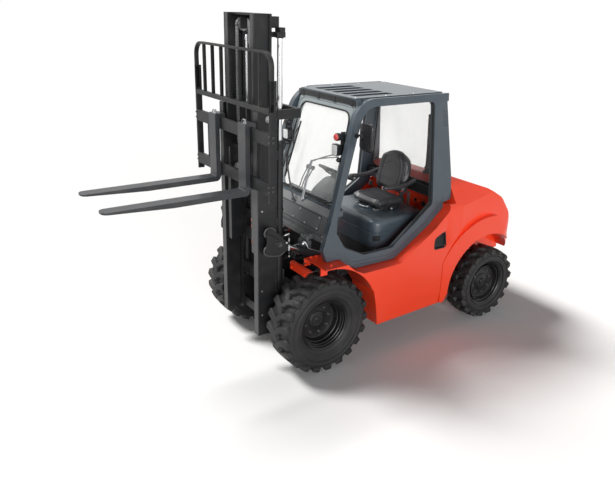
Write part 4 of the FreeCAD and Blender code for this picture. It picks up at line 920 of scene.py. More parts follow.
def makeLamps(side):
    # a square lamp, a round one above it, their bracket, bolts and cable
    word = sideName(side)
    housing, lensFace = Shape(), Shape()
    y = side * 408
    ring = box2(*lamps["clearSize"], 0.018, 4)
    scale = [0.62, 0.9, 1.0, 1.0, 0.93]
    line = np.array([at(x, y, 2000) for x in (-330, -318, -300, -266, -263)])
    housing.rings(carried(line, ring, scale))
    front = np.array([at(x, y, 2000) for x in (-264, -260.5, -259)])
    lensFace.rings(carried(front, ring, [0.86, 0.86, 0.7]))
    housing.lathe([(-0.014, 0), (-0.012, 0.026), (0, 0.034), (0.032, 0.035), (0.036, 0.033), (0.036, 0)],
                  at(-308, side * 416, 2114),
                  (1, 0, 0), 28)
    housing.bar(at(-330, side * 440, 1972), at(-330, side * 440, 2160), 0.05, 0.006)
    housing.block(at(-336, min(side * 436, side * 476), 2040), at(-324, max(side * 436, side * 476), 2076))
    housing.lathe([(0, 0), (0, 0.02), (0.03, 0.022), (0.04, 0.016), (0.04, 0)], at(-322, side * 430, 1906),
                  (1, 0, 0.1), 20)
    housing.piece("lamp_housing_" + word, "gloss", "chassis", "lamp_housing", bevel=0.0015,
                  replaces=("headlamps",) if side > 0 else ())
    lensFace.piece("lamp_lens_" + word, "clearLens", "chassis", "lamp_housing")
    dome = Shape().lathe([(0, 0), (0, lamps["redRadius"]), (0.01, 0.029), (0.017, 0.02), (0.019, 0)],
                         at(-273, side * 416, 2114), (1, 0, 0), 28)
    dome.piece("lamp_red_" + word, "redLens" if side > 0 else "gloss", "chassis", "lamp_housing")
    bolts = Shape().bolts([at(-326, side * 440, z) for z in (2148, 1962)], (1, 0, 0), 0.014)
    bolts.tube([at(-330, side * 424, 1990), at(-352, side * 440, 1960), at(-356, side * 462, 1900),
                at(-300, side * 478, 1760)], 0.0035, 6)
    bolts.piece("lamp_cable_" + word, "hose", "chassis", "black_plastic")


makeLamps(1)
makeLamps(-1)


# mirror: a rounded shell on a bent arm, its glass towards the driver
def makeMirror():
    low, high = [np.array(corner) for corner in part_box("mirror_left")]
    centre = (low + high) / 2
    head = np.array([centre[0], (at(0, 590, 0)[1] + high[1]) / 2, centre[2]])
    width, height = high[1] - at(0, 592, 0)[1], high[2] - low[2]
    ring = box2(width, height, 0.045, 6)
    line = np.array([head + (x, 0, 0) for x in (-0.016, -0.017, 0.0, 0.01, 0.0165, 0.0178)])
    shell = Shape().rings(carried(line, ring, [0.93, 1.0, 1.0, 0.95, 0.78, 0.5]))
    shell.tube([at(-396, 546, 2137), at(-396, 590, 2150), at(-392, 640, 2145)], 0.009, 12)
    shell.lathe([(-0.006, 0), (-0.006, 0.02), (0.012, 0.02), (0.012, 0)], at(-396, 550, 2138), (0, 1, 0),
                20)
    shell.lathe([(0, 0), (0, 0.018), (0.01, 0.016), (0.012, 0)], at(-385, 640, 2145), (1, 0, 0), 20)
    shell.piece("mirror_shell", "gloss", "chassis", "black_plastic", bevel=0.001, replaces=("mirror_left",))
    back = np.array([head + (x, 0, 0) for x in (-0.0178, -0.0164)])
    glass = Shape().rings(carried(back, box2(width * 0.9, height * 0.93, 0.036, 6)))
    glass.piece("mirror_glass", "mirror", "chassis", "rod_chrome")


makeMirror()


# seat: stuffed cushion and back with sewn arches, armrests, bellows, belt buckles
seatParts = {"voxel": 0.005, "pressure": 4.0, "frames": 18, "cap": 0.009, "groove": 0.0045}


def roundedBox(low, high, corner, cells=14):
    # a cube's grid pushed out from an inner box by the corner radius
    work = bmesh.new()
    bmesh.ops.create_cube(work, size=2)
    bmesh.ops.subdivide_edges(work, edges=work.edges[:], cuts=cells, use_grid_fill=True)
    mesh = bpy.data.meshes.new("pad")
    work.to_mesh(mesh)
    work.free()
    points = np.zeros(len(mesh.vertices) * 3)
    mesh.vertices.foreach_get("co", points)
    points = points.reshape(-1, 3)
    low, high = np.asarray(low), np.asarray(high)
    middle, half = (low + high) / 2, (high - low) / 2
    reach = points * half
    inner = np.clip(reach, -(half - corner), half - corner)
    away = reach - inner
    length = np.maximum(np.linalg.norm(away, axis=1), 1e-9)[:, None]
    points = inner + away / length * corner + middle
    return mesh, points, points - middle, half


def stuffed(name, mesh, points, grooves, replaces, body="hood"):
    # remeshed cloth swollen by pressure, held near its start, then sewn channels pressed in along lines
    mesh.vertices.foreach_set("co", points.ravel())
    piece = bpy.data.objects.new(name, mesh)
    bpy.context.scene.collection.objects.link(piece)
    bpy.context.view_layer.objects.active = piece
    remesh = piece.modifiers.new("remesh", "REMESH")
    remesh.mode, remesh.voxel_size = "VOXEL", seatParts["voxel"]
    bpy.context.view_layer.update()
    piece.data = baked(piece)
    piece.modifiers.clear()
    start = np.zeros(len(piece.data.vertices) * 3)
    piece.data.vertices.foreach_get("co", start)
    cloth = piece.modifiers.new("cloth", "CLOTH")
    cloth.settings.use_pressure, cloth.settings.uniform_pressure_force = True, seatParts["pressure"]
    cloth.settings.effector_weights.gravity = 0
    cloth.point_cache.frame_end = seatParts["frames"]
    for step in range(1, seatParts["frames"] + 1):
        bpy.context.scene.frame_set(step)
    swollen = baked(piece)
    bpy.context.scene.frame_set(1)
    piece.modifiers.clear()
    end = np.zeros(len(swollen.vertices) * 3)
    swollen.vertices.foreach_get("co", end)
    move = (end - start).reshape(-1, 3)
    far = np.maximum(np.linalg.norm(move, axis=1), 1e-9)[:, None]
    points = start.reshape(-1, 3) + move * np.minimum(1, seatParts["cap"] / far)
    piece.data = swollen
    points = grooves(points)
    piece.data.vertices.foreach_set("co", points.ravel())
    piece.data.shade_smooth()
    piece.data.materials.clear()
    piece.data.materials.append(finishes["vinyl"])
    smooth = piece.modifiers.new("smooth", "SUBSURF")
    smooth.levels = smooth.render_levels = 1
    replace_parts(piece, *replaces)
    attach(piece, body)
    return piece


def furrow(distance, width, depth):
    # a channel: the depth times a bell curve of the distance from its middle line
    return depth * np.exp(-(distance / width) ** 2)


def pitched(x, z, angle):
    # x and z turned in the plane of the seat's side
    return x * math.cos(angle) - z * math.sin(angle), x * math.sin(angle) + z * math.cos(angle)


def makeSeat():
    # the cushion: bolsters rise beyond 0.62 of its half width, the middle is dished, the front edge drops
    low, high = [np.array(corner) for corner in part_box("seat_cushion")]
    inset = 0.008
    mesh, points, offset, half = roundedBox(low + (inset, inset, 0.004), high - (inset, inset, 0.01), 0.034)
    across, along = offset[:, 1] / half[1], offset[:, 0] / half[0]
    bolster = 0.016 * np.clip(np.abs(across) - 0.62, 0, 1) / 0.38 + 0.006 * np.clip(-along - 0.5, 0, 1)
    dish = 0.008 * (1 - across ** 2) * (1 - along ** 2)
    up = offset[:, 2] > 0
    points[:, 2] += np.where(up, bolster - dish - 0.006, 0)
    points[:, 2] -= np.where(up, 0.014 * np.clip(along - 0.55, 0, 1) / 0.45, 0)
    centre = (low + high) / 2

    def cushionGrooves(p):
        q = p - centre
        top = np.clip((q[:, 2] - 0.012) / 0.012, 0, 1)
        side = np.abs(np.abs(q[:, 1]) - 0.148)
        depth = furrow(side, 0.006, 1) * (q[:, 0] > -0.17)
        for x in (0.06, -0.05):
            depth = np.maximum(depth, furrow(q[:, 0] - x - 0.02 * (1 - (q[:, 1] / 0.15) ** 2), 0.005,
                                             1) * (np.abs(q[:, 1]) < 0.148))
        p = p.copy()
        p[:, 2] -= depth * top * seatParts["groove"]
        return p

    stuffed("seat_cushion_pad", mesh, points, cushionGrooves, ("seat_cushion",))
    low, high = [np.array(corner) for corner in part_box("seat_backrest")]
    lean = math.radians(8)
    size = np.array([0.092, 0.444, 0.428])
    mesh, points, offset, half = roundedBox(-size / 2, size / 2, 0.04)
    # the back: narrower towards an arched top, with side bolsters and a lumbar swell
    share = offset[:, 2] / half[2]
    narrow = np.sqrt(1 - (0.66 * np.clip(share, 0, 1)) ** 2) - 0.06 * np.clip(-share - 0.5, 0, 1)
    front = offset[:, 0] > 0
    points[:, 1] *= narrow
    side = np.abs(points[:, 1]) / (half[1] * narrow)
    points[:, 2] -= 0.066 * np.clip(share, 0, 1) ** 2 * side ** 2.2
    points[:, 0] += np.where(front, 0.012 * np.clip(side - 0.55, 0, 1) / 0.45
                             - 0.012 * (1 - side ** 2) * (1 - share ** 2), 0)
    points[:, 0] += np.where(front, 0.01 * np.exp(-((share + 0.45) / 0.3) ** 2), 0)
    foot = np.array([high[0] - 0.002, 0, low[2] + 0.012])
    middle = foot + np.array([-math.sin(lean) * size[2] / 2 - size[0] / 2 * math.cos(lean), 0,
                              math.cos(lean) * size[2] / 2])

    def placeBack(p):
        p = p.copy()
        x, z = pitched(p[:, 0], p[:, 2], lean)
        p[:, 0], p[:, 2] = x + middle[0], z + middle[2]
        return p

    def backGrooves(p):
        q = p - middle
        x, z = pitched(q[:, 0], q[:, 2], -lean)
        y = q[:, 1]
        face = np.clip((x - 0.012) / 0.012, 0, 1)
        inner = 0.135 - 0.05 * np.clip((z + 0.02) / 0.18, 0, 1) ** 2
        depth = furrow(np.abs(y) - inner, 0.006, 1) * (z < 0.15)
        arch = z - (0.03 + 0.05 * (1 - (y / 0.13) ** 2))
        crown = z - (0.12 + 0.03 * (1 - (y / 0.1) ** 2))
        for line, limit in ((arch, 0.135), (crown, 0.1)):
            depth = np.maximum(depth, furrow(line, 0.005, 1) * (np.abs(y) < limit))
        p = p.copy()
        p[:, 0] -= depth * face * seatParts["groove"] * math.cos(lean)
        p[:, 2] -= depth * face * seatParts["groove"] * math.sin(lean)
        return p

    stuffed("seat_back_pad", mesh, placeBack(points), backGrooves, ("seat_backrest",))
    shell = Shape()
    for side in (1, -1):
        arm = smoothLine([at(-1404, side * 286, 1540), at(-1330, side * 282, 1520),
                          at(-1200, side * 281, 1500), at(-1060, side * 280, 1502),
                          at(-1004, side * 279, 1508), at(-984, side * 279, 1506)], 5)
        grow = np.interp(np.arange(len(arm)), [0, 4, len(arm) - 6, len(arm) - 1], [0.7, 0.95, 1.0, 0.45])
        shell.rings(carried(arm, box2(0.05, 0.04, 0.016, 4), grow))
        shell.tube([at(-1392, side * 262, 1536), at(-1392, side * 240, 1530), at(-1392, side * 226, 1528)],
                   0.016, 12)
    shell.piece("armrest_pads", "vinyl", "hood", "black_plastic", crease=50, replaces=("armrests",))
    bellows = Shape()
    for k in range(4):
        z = 1247 + k * 8.6
        grow = 1.0 if k % 2 == 0 else 0.93
        ring = box2(0.3, 0.38, 0.05, 4) * grow * 1000
        bellows.rings(np.array([[at(-1180 + a, b, z + h) for a, b in ring] for h in (0, 8.6)]))
    bellows.piece("seat_bellows", "hose", "hood", "black_plastic", replaces=("seat_base",))
    buckles, button = Shape(), Shape()
    for side in (1, -1):
        buckles.tube([at(-1330, side * 236, 1290), at(-1300, side * 244, 1340),
                      at(-1262, side * 247, 1392)], 0.006, 8)
        buckles.block(at(-1278, side * 247 - 9, 1384), at(-1238, side * 247 + 9, 1430))
        button.block(at(-1270, side * 247 - 6, 1429), at(-1246, side * 247 + 6, 1434))
    buckles.piece("belt_buckles", "plastic", "hood", "black_plastic", bevel=0.003)
    button.piece("buckle_buttons", "redLens", "hood", "black_plastic", bevel=0.001)
    plates = Shape()
    for side in (1, -1):
        plates.bar(at(-1404, side * 200, 1262), at(-1404, side * 200, 1400), 0.012, 0.03)
        plates.bolts([at(-1388, side * 237, 1528), at(-1150, side * 233, 1262)], (0, side, 0), 0.018)
        plates.bar(at(-1330, side * 150, 1251), at(-990, side * 150, 1251), 0.04, 0.008)
    plates.tube([at(-1010, 60, 1268), at(-966, 62, 1266), at(-946, 20, 1262), at(-946, -40, 1262)], 0.006,
                8)
    plates.piece("seat_rails", "zinc", "hood", "chain_steel")


makeSeat()
print("seat made")


# steering wheel, column cover, levers and pedals
driving = {"wheelRadius": 0.178, "grip": 0.0125, "lean": 27}


def makeControls():
    # the wheel is a ring round an axis that leans towards the seat, with three spokes and a knob
    lean = math.radians(driving["lean"])
    axis = np.array([-math.sin(lean), 0, math.cos(lean)])
    hub = at(-590, 0, 1640)
    side = np.array([0, 1.0, 0])
    up = np.cross(axis, side)
    turn = np.linspace(0, 2 * math.pi, 72, endpoint=False)
    ring = hub + axis * 0.02 + driving["wheelRadius"] * (np.cos(turn)[:, None] * side
                                                         + np.sin(turn)[:, None] * up)
    outward = (ring - hub - axis * 0.02) / driving["wheelRadius"]
    section = circle(driving["grip"], 12)
    rings = ring[:, None] + section[None, :, :1] * outward[:, None] + section[None, :, 1:] * axis
    wheel = Shape().rings(rings, True)
    for angle in (90, 210, 330):
        direction = math.cos(math.radians(angle)) * side + math.sin(math.radians(angle)) * up
        wheel.rings(carried(smoothLine([hub - axis * 0.012 + direction * 0.03,
                                        hub - axis * 0.006 + direction * 0.09,
                                        hub + axis * 0.018 + direction * 0.172], 5),
                            box2(0.03, 0.009, 0.004, 3), [1.2] * 4 + [1.0] * 3 + [0.7] * 4))
    wheel.lathe([(-0.03, 0), (-0.03, 0.03), (-0.01, 0.045), (0.006, 0.046), (0.014, 0.038), (0.018, 0.02),
                 (0.018, 0)], hub, axis, 32)
    knob = hub + axis * 0.03 + outward[9] * (driving["wheelRadius"] - 0.004)
    wheel.lathe([(0, 0), (0, 0.011), (0.012, 0.01), (0.018, 0.019), (0.036, 0.022), (0.05, 0.016),
                 (0.054, 0)], knob, axis, 20)
    recalculate(wheel.piece("steering_wheel_rim", "plastic", "steering_wheel", "black_plastic", crease=50,
                            replaces=("steering_wheel",)))
    column = Shape()
    column.rings(carried(np.array([hub - axis * 0.034, hub - axis * 0.09, hub - axis * 0.2]),
                         box2(0.085, 0.085, 0.026, 4), [0.8, 1, 1]))
    column.tube([hub - axis * 0.07, hub - axis * 0.07 + (0, 0.09, 0.012),
                 hub - axis * 0.062 + (0, 0.15, 0.02)], 0.0055, 8)
    column.lathe([(0, 0), (0, 0.01), (0.036, 0.011), (0.04, 0.006), (0.04, 0)],
                 hub - axis * 0.062 + (0, 0.14, 0.018), (0, 1, 0.1), 14)
    column.piece("column_cover", "plastic", "chassis", "black_plastic", bevel=0.002)
    levers, knobs = Shape(), Shape()
    for k in range(3):
        foot = at(-370, -226 - k * 42, 1456)
        top = at(-474 + k * 3, -232 - k * 42, 1646)
        levers.tube([foot, (foot + top) / 2 + (0.004, 0, 0.012), top], 0.006, 8)
        levers.lathe([(0, 0), (0, 0.02), (0.012, 0.016), (0.024, 0.009), (0.026, 0)], foot - (0, 0, 0.008),
                     (-0.35, 0, 1), 16)
        knobs.lathe([(-0.004, 0), (-0.002, 0.011), (0.014, 0.018), (0.032, 0.018), (0.042, 0.01),
                     (0.044, 0)], top, top - foot, 18)
    levers.piece("control_levers", "plastic", "chassis", "black_plastic")
    knobs.piece("lever_knobs", "gloss", "chassis", "black_plastic")
    pedals = Shape()
    for y, width in ((-70, 46), (-190, 40), (90, 50)):
        pedals.prism(roundLoop([(-width / 2000, 0), (width / 2000, 0), (width / 2000, 0.09),
                                (-width / 2000, 0.09)], 0.01, 3),
                     at(-470, y, 830), (0, 1, 0), (0.6, 0, 0.8), 0.01)
        pedals.tube([at(-452, y, 860), at(-420, y, 900), at(-400, y, 1000), at(-408, y, 1195)], 0.007, 8)
    pedals.piece("pedals", "plastic", "chassis", "black_plastic", bevel=0.001)


makeControls()
print("controls made")


# body shells: the frame's own solids with rounded edges
rounding = {"cab_frame": 0.009, "side_panels": 0.007, "counterweight": 0.016, "front_cowl": 0.004,
            "steering_console": 0.008, "roof_panel": 0.004, "windshield_frame": 0.005,
            "cab_glass": 0.0005, "fork_left": 0.003, "fork_right": 0.003}


def roundedNode(node, width, body, finish):
    # the solid's own faces, joined into large ones, with a curved strip along each sharp edge
    work = bmesh.new()
    work.from_mesh(frame["nodes"][node].data)
    bmesh.ops.remove_doubles(work, verts=work.verts, dist=2e-5)
    bmesh.ops.dissolve_limit(work, angle_limit=math.radians(0.6), verts=work.verts, edges=work.edges)
    bmesh.ops.dissolve_degenerate(work, dist=1e-4, edges=work.edges)
    if node == "side_panels":
        front = at(50, 0, 0)
        bmesh.ops.bisect_plane(work, geom=work.verts[:] + work.edges[:] + work.faces[:], plane_co=front,
                               plane_no=(1, 0, 0), clear_outer=True)
        bmesh.ops.holes_fill(work, edges=[edge for edge in work.edges if edge.is_boundary], sides=8)
    if node in ("windshield_frame", "cab_glass"):
        slope = Vector(onScreen(0, 1000, 0)) - Vector(onScreen(0, 0, 0))
        for point in work.verts:
            rise = (point.co - Vector(onScreen(0, 0, 0))).dot(slope)
            if 0.03 < rise < 0.17 and abs(point.co.x - at(-224, 0, 0)[0]
                                          + math.sin(math.radians(screen["lean"])) * rise) < 0.04:
                point.co -= slope * screen["drop"] / 1000
    if node.startswith("fork"):
        tip = max(point.co.x for point in work.verts) - 0.001
        corners = [edge for edge in work.edges if all(point.co.x > tip for point in edge.verts)
                   and abs(edge.verts[0].co.y - edge.verts[1].co.y) < 0.001]
        bmesh.ops.bevel(work, geom=corners, offset=0.052, segments=8, profile=0.5, affect="EDGES")
    mesh = bpy.data.meshes.new(node + "_shell")
    work.to_mesh(mesh)
    work.free()
    mesh.shade_smooth()
    mesh.set_sharp_from_angle(angle=math.radians(28))
    mesh.materials.append(finishes[finish])
    piece = bpy.data.objects.new(node + "_shell", mesh)
    bpy.context.scene.collection.objects.link(piece)
    edge = piece.modifiers.new("edge", "BEVEL")
    edge.width, edge.segments, edge.limit_method, edge.angle_limit = width, 3, "ANGLE", math.radians(28)
    edge.harden_normals, edge.use_clamp_overlap, edge.miter_outer = True, True, "MITER_ARC"
    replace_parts(piece, node)
    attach(piece, body)
    return piece


slotOf = {entry["node"]: entry["material_slot"] for entry in frame["record"]["subparts"]}
bodyOf = {name: body for body, names in frame["record"]["behaviour"]["bodies"].items() for name in names}
for node, width in rounding.items():
    roundedNode(node, width, bodyOf[node], nodeFinish[slotOf[node]])
print("shells rounded", len(rounding))


# engine hood: a moulding with a rolled top edge and a seam round its lid
hood = {"roll": 0.042, "seam": 1.121, "seamDepth": 0.004, "corner": 0.095}


def makeHood():
    # level rings up the moulding: a seam, then a quarter-round roll of the top edge
    low, high = [np.array(corner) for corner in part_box("engine_hood")]
    centre, depth, width = (low + high) / 2, high[0] - low[0], high[1] - low[1]
    roll = hood["roll"]
    turn = np.linspace(0, math.pi / 2, 8)
    levels = [(low[2], 0.0), (hood["seam"] - 0.005, 0.0), (hood["seam"] - 0.003, hood["seamDepth"]),
              (hood["seam"] + 0.003, hood["seamDepth"]), (hood["seam"] + 0.005, 0.0)]
    levels += [(high[2] - roll + roll * math.sin(a), roll * (1 - math.cos(a)) + 0.006 * math.sin(a))
               for a in turn]
    levels += [(high[2], roll * 2.2)]
    rings = []
    for z, inset in levels:
        ring = box2(depth - inset, width - 2 * inset, max(0.012, hood["corner"] - inset * 0.4), 8)
        ring[:, 0] -= inset / 2
        rings.append(np.column_stack([centre[0] + ring[:, 0], centre[1] + ring[:, 1],
                                      np.full(len(ring), z)]))
    moulding = Shape().rings(np.array(rings))
    recalculate(moulding.piece("hood_moulding", "blueGrey", "hood", "blue_grey_paint", crease=38,
                               replaces=("engine_hood",)))
    fittings = Shape()
    for side in (1, -1):
        plate = roundLoop([(-0.036, -0.026), (0.036, -0.026), (0.036, 0.026), (-0.036, 0.026)], 0.012, 4)
        fittings.prism(plate if side > 0 else plate[::-1], at(-800, side * 446, 1066), (1, 0, 0), (0, 0, 1),
                       -side * 0.004)
        fittings.bar(at(-826, side * 454, 1072), at(-778, side * 454, 1066), 0.016, 0.008, 0.003)
        fittings.lathe([(0, 0), (0, 0.011), (0.01, 0.011), (0.01, 0)], at(-822, side * 448, 1072),
                       (0, side, 0), 14)
    recalculate(fittings.piece("hood_latches", "plastic", "hood", "black_plastic", bevel=0.001))


makeHood()


# cab details: sill ridges and slots on the leaning side frames, roof, bulkhead and mat
cabDetail = {"slots": 7, "slotLength": 0.05, "slotHeight": 0.0095, "ridge": (0.007, 0.0035)}


def onSide(x, z, side, out=0.0):
    # a place on the outer face of a side frame, which leans in by 5 degrees above 1000 mm
    return at(x, side * (640 - (z - 1000) * math.tan(math.radians(5)) + out), z)


def cabDetails():
    # ridges on the sill, slots in the rear posts, a dark sheet under the roof and the roof's bolts, the
    # bulkhead with its grommets, black sheets painted as shade below the rear window, and the mat
    sill = [(-170, 1062), (-236, 1040), (-322, 968), (-420, 950), (-850, 950), (-1096, 1090),
            (-1296, 1206), (-1450, 1330), (-1500, 1400)]
    for side in (1, -1):
        word = sideName(side)
        ridges = Shape()
        for rise in (0, 34):
            line = [onSide(x + rise * 0.1, z + rise, side, 0.4) for x, z in sill]
            ridges.rings(carried(smoothLine(line, 5), box2(*cabDetail["ridge"], 0.0015, 2)))
        recalculate(ridges.piece("sill_ridges_" + word, "blueGrey", "chassis", "blue_grey_paint"))
        vents = Shape()
        for k in range(cabDetail["slots"]):
            z = 2136 + k * 22
            rear = np.interp(z, [1650, 2370], [-1594, -1505]) + 18
            vents.bar(onSide(rear, z, side, 0.5),
                      onSide(rear + cabDetail["slotLength"] * 1000, z, side, 0.5), cabDetail["slotHeight"],
                      0.0022, 0.001)
        vents.piece("post_slots_" + word, "gasket", "chassis", "black_plastic")
    # a dark sheet under the roof keeps its slots dark; a bar with four tabs crosses the roof's front
    roof = Shape().block(at(-1438, -428, 2413), at(-602, 428, 2417))
    roof.block(at(-452, -438, 2381), at(-447.5, 438, 2423))
    for y in (-390, -130, 130, 390):
        roof.block(at(-452, y - 16, 2370), at(-444, y + 16, 2424))
    roof.piece("roof_sheet_under_slots", "plastic", "chassis", "black_plastic", bevel=0.0015)
    bolts = Shape().bolts([at(x, y, 2440) for x in (-1490, -480) for y in (-400, 400)] +
                          [at(x, y, 2440) for x in (-1150, -820) for y in (-412, 412)], (0, 0, 1), 0.017,
                          head=0.35)
    bolts.bolts([onScreen(a, b, 1) for a in (-490, 490) for b in (40, 300, 560)], (0.966, 0, 0.259), 0.012,
                head=0.4)
    bolts.piece("roof_bolts", "zinc", "chassis", "chain_steel")
    wall = Shape().block(at(-1512, -516, 1150), at(-1504, 516, 1406))
    wall.block(at(-1504, -516, 1330), at(-1499, 516, 1338))
    wall.piece("bulkhead", "red", "chassis", "red_body", bevel=0.002)
    grommetsAndShadeSheets = Shape()
    for y, z, radius in ((-380, 1290, 0.026), (-250, 1300, 0.018), (210, 1296, 0.02), (330, 1284, 0.03),
                         (430, 1296, 0.017)):
        grommetsAndShadeSheets.lathe([(0, 0), (0, radius), (0.0025, radius), (0.003, radius - 0.003),
                    (0.0015, radius - 0.005), (0.0012, 0)],
                   at(-1504, y, z), (1, 0, 0), 24)
    # painted shade: two thin black sheets below the rear window stand in for the shade over the cab's rear
    # cross member
    grommetsAndShadeSheets.block(at(-1436, -556, 1414), at(-1434.2, 556, 1502))
    grommetsAndShadeSheets.block(at(-1496, -556, 1508), at(-1438, 556, 1510))
    grommetsAndShadeSheets.piece("bulkhead_grommets_and_shade_sheets", "gasket", "chassis", "black_plastic")
    # the mat's top is a clipped sine across the cab, a rib each 20 mm
    across = np.linspace(-0.42, 0.42, 337)
    height = 0.0022 * np.clip(np.sin(across * 2 * math.pi / 0.02) * 1.6, -0.4, 1)
    rows = [np.column_stack([np.full(len(across), at(x, 0, 0)[0]), across, at(0, 0, 775)[2] + height])
            for x in (-742, -362)]
    base = [np.column_stack([np.full(len(across), at(x, 0, 0)[0]), across,
                             np.full(len(across), at(0, 0, 772.2)[2])])
            for x in (-362, -742)]
    mat = Shape().add(np.vstack(rows + base), gridFaces(4, len(across), True))
    recalculate(mat.piece("floor_mat_ribs", "mat", "chassis", "floor_mat", crease=60))


cabDetails()
print("cab dressed")


# instrument panel behind the wheel, with its dials
def makeDash():
    # the panel's outline in side view, repeated across with a smaller one at both ends
    outline = [(-263, 1478), (-292, 1560), (-378, 1660), (-440, 1676), (-486, 1632), (-462, 1560),
               (-420, 1470), (-330, 1440)]
    curve = roundLoop([(x / 1000, z / 1000) for x, z in outline], 0.016, 4)
    half = np.array([-0.004, 0.0, 0.02, 0.31, 0.331, 0.335])
    lean = np.array([0.45, 0.45, 0.45, 0, 0, 0])
    grow = np.array([0.9, 0.97, 1.0, 1.0, 0.97, 0.9])
    middle = curve.mean(0)
    rings = [np.column_stack([middle[0] + (curve[:, 0] - middle[0]) * g + at(0, 0, 0)[0],
                              y + (curve[:, 1] - 1.44) * k,
                              middle[1] + (curve[:, 1] - middle[1]) * g])
             for y, g, k in zip(half, grow, lean)]
    panel = Shape().rings(np.array(rings))
    recalculate(panel.piece("instrument_panel", "cowl", "chassis", "cowl_grey", crease=36))
    dials, faces = Shape(), Shape()
    normal = np.array([-0.7, 0, 0.71])
    for y, radius in ((0.285, 0.03), (0.21, 0.03), (0.14, 0.026)):
        centre = at(-463, y * 1000, 1654)
        dials.lathe([(-0.01, 0), (-0.01, radius + 0.006), (0.006, radius + 0.006), (0.009, radius + 0.002),
                     (0.006, radius), (0.0055, 0)],
                    centre, normal, 28)
        faces.lathe([(0.0056, 0), (0.0056, radius * 0.9), (0.0062, radius * 0.88), (0.0062, 0)], centre,
                    normal, 28)
        for k in range(9):
            angle = math.radians(-120 + k * 30)
            along, up = np.array([0, 1.0, 0]), np.array([0.71, 0, 0.7])
            ray = math.sin(angle) * along + math.cos(angle) * up
            faces.bar(centre + normal * 0.0064 + ray * radius * 0.68,
                      centre + normal * 0.0064 + ray * radius * 0.84, 0.0012, 0.0008)
    for k in range(5):
        dials.block(at(-434, 150 + k * 26, 1672), at(-420, 168 + k * 26, 1682))
    dials.piece("dash_dials", "gloss", "chassis", "black_plastic")
    faces.piece("dial_faces", "clearLens", "chassis", "lamp_housing")


makeDash()


# cowl: removable cover with its seam and screws, ribs below it and the service box's lid
def makeCowl():
    # plates lie in the cowl's sloping face, given by a direction up it and one square to it
    slope = np.array([-30, 0, 163.0]) / 165.73
    square = np.array([163.0, 0, 30.0]) / 165.73
    foot = at(-100, 0, 1258) + square * 0.0002
    cover = roundLoop([(-0.232, 0.018), (0.418, 0.012), (0.44, 0.148), (-0.234, 0.152)], 0.014, 4)
    plate = Shape().prism(cover, foot, (0, 1, 0), slope, 0.0028)
    lid = roundLoop([(-0.5, 1.172), (0.318, 1.172), (0.318, 1.208), (-0.5, 1.208)], 0.008, 3)
    plate.prism(lid, at(-63.8, 0, 0) * (1, 1, 0), (0, 1, 0), (0, 0, 1), 0.0022)
    for k in range(4):
        plate.bar(at(-99.5, -516, 1222 + k * 9.5), at(-99.5, 516, 1222 + k * 9.5), 0.007, 0.0045, 0.001)
    recalculate(plate.piece("cowl_cover", "cowl", "chassis", "cowl_grey", bevel=0.0012))
    seam = Shape().rings(np.array([[foot + np.array([0, a, 0]) + slope * b + square * h for a, b in
                                    roundLoop([(-0.238, 0.012), (0.424, 0.006), (0.446, 0.154),
                                               (-0.24, 0.158)], 0.018, 4)]
                                   for h in (0.0, 0.0007)]))
    recalculate(seam.piece("cowl_seam", "gasket", "chassis", "black_plastic"))
    screws = Shape().bolts([foot + np.array([0, a, 0]) + slope * b + square * 0.0028 for a, b in
                            ((-0.216, 0.034), (0.0, 0.03), (0.2, 0.028), (0.4, 0.026), (-0.216, 0.138),
                             (0.1, 0.136), (0.418, 0.134))],
                           square, 0.013, head=0.45)
    screws.bolts([at(-100, y, z) for y in (-500, 500) for z in (1190, 1236)], (1, 0, 0), 0.016)
    screws.piece("cowl_screws", "zinc", "chassis", "chain_steel")


makeCowl()


# hydraulic lines in front of the cowl and on the tilt cylinders
lines = {"hose": 0.0105, "pipe": 0.006}


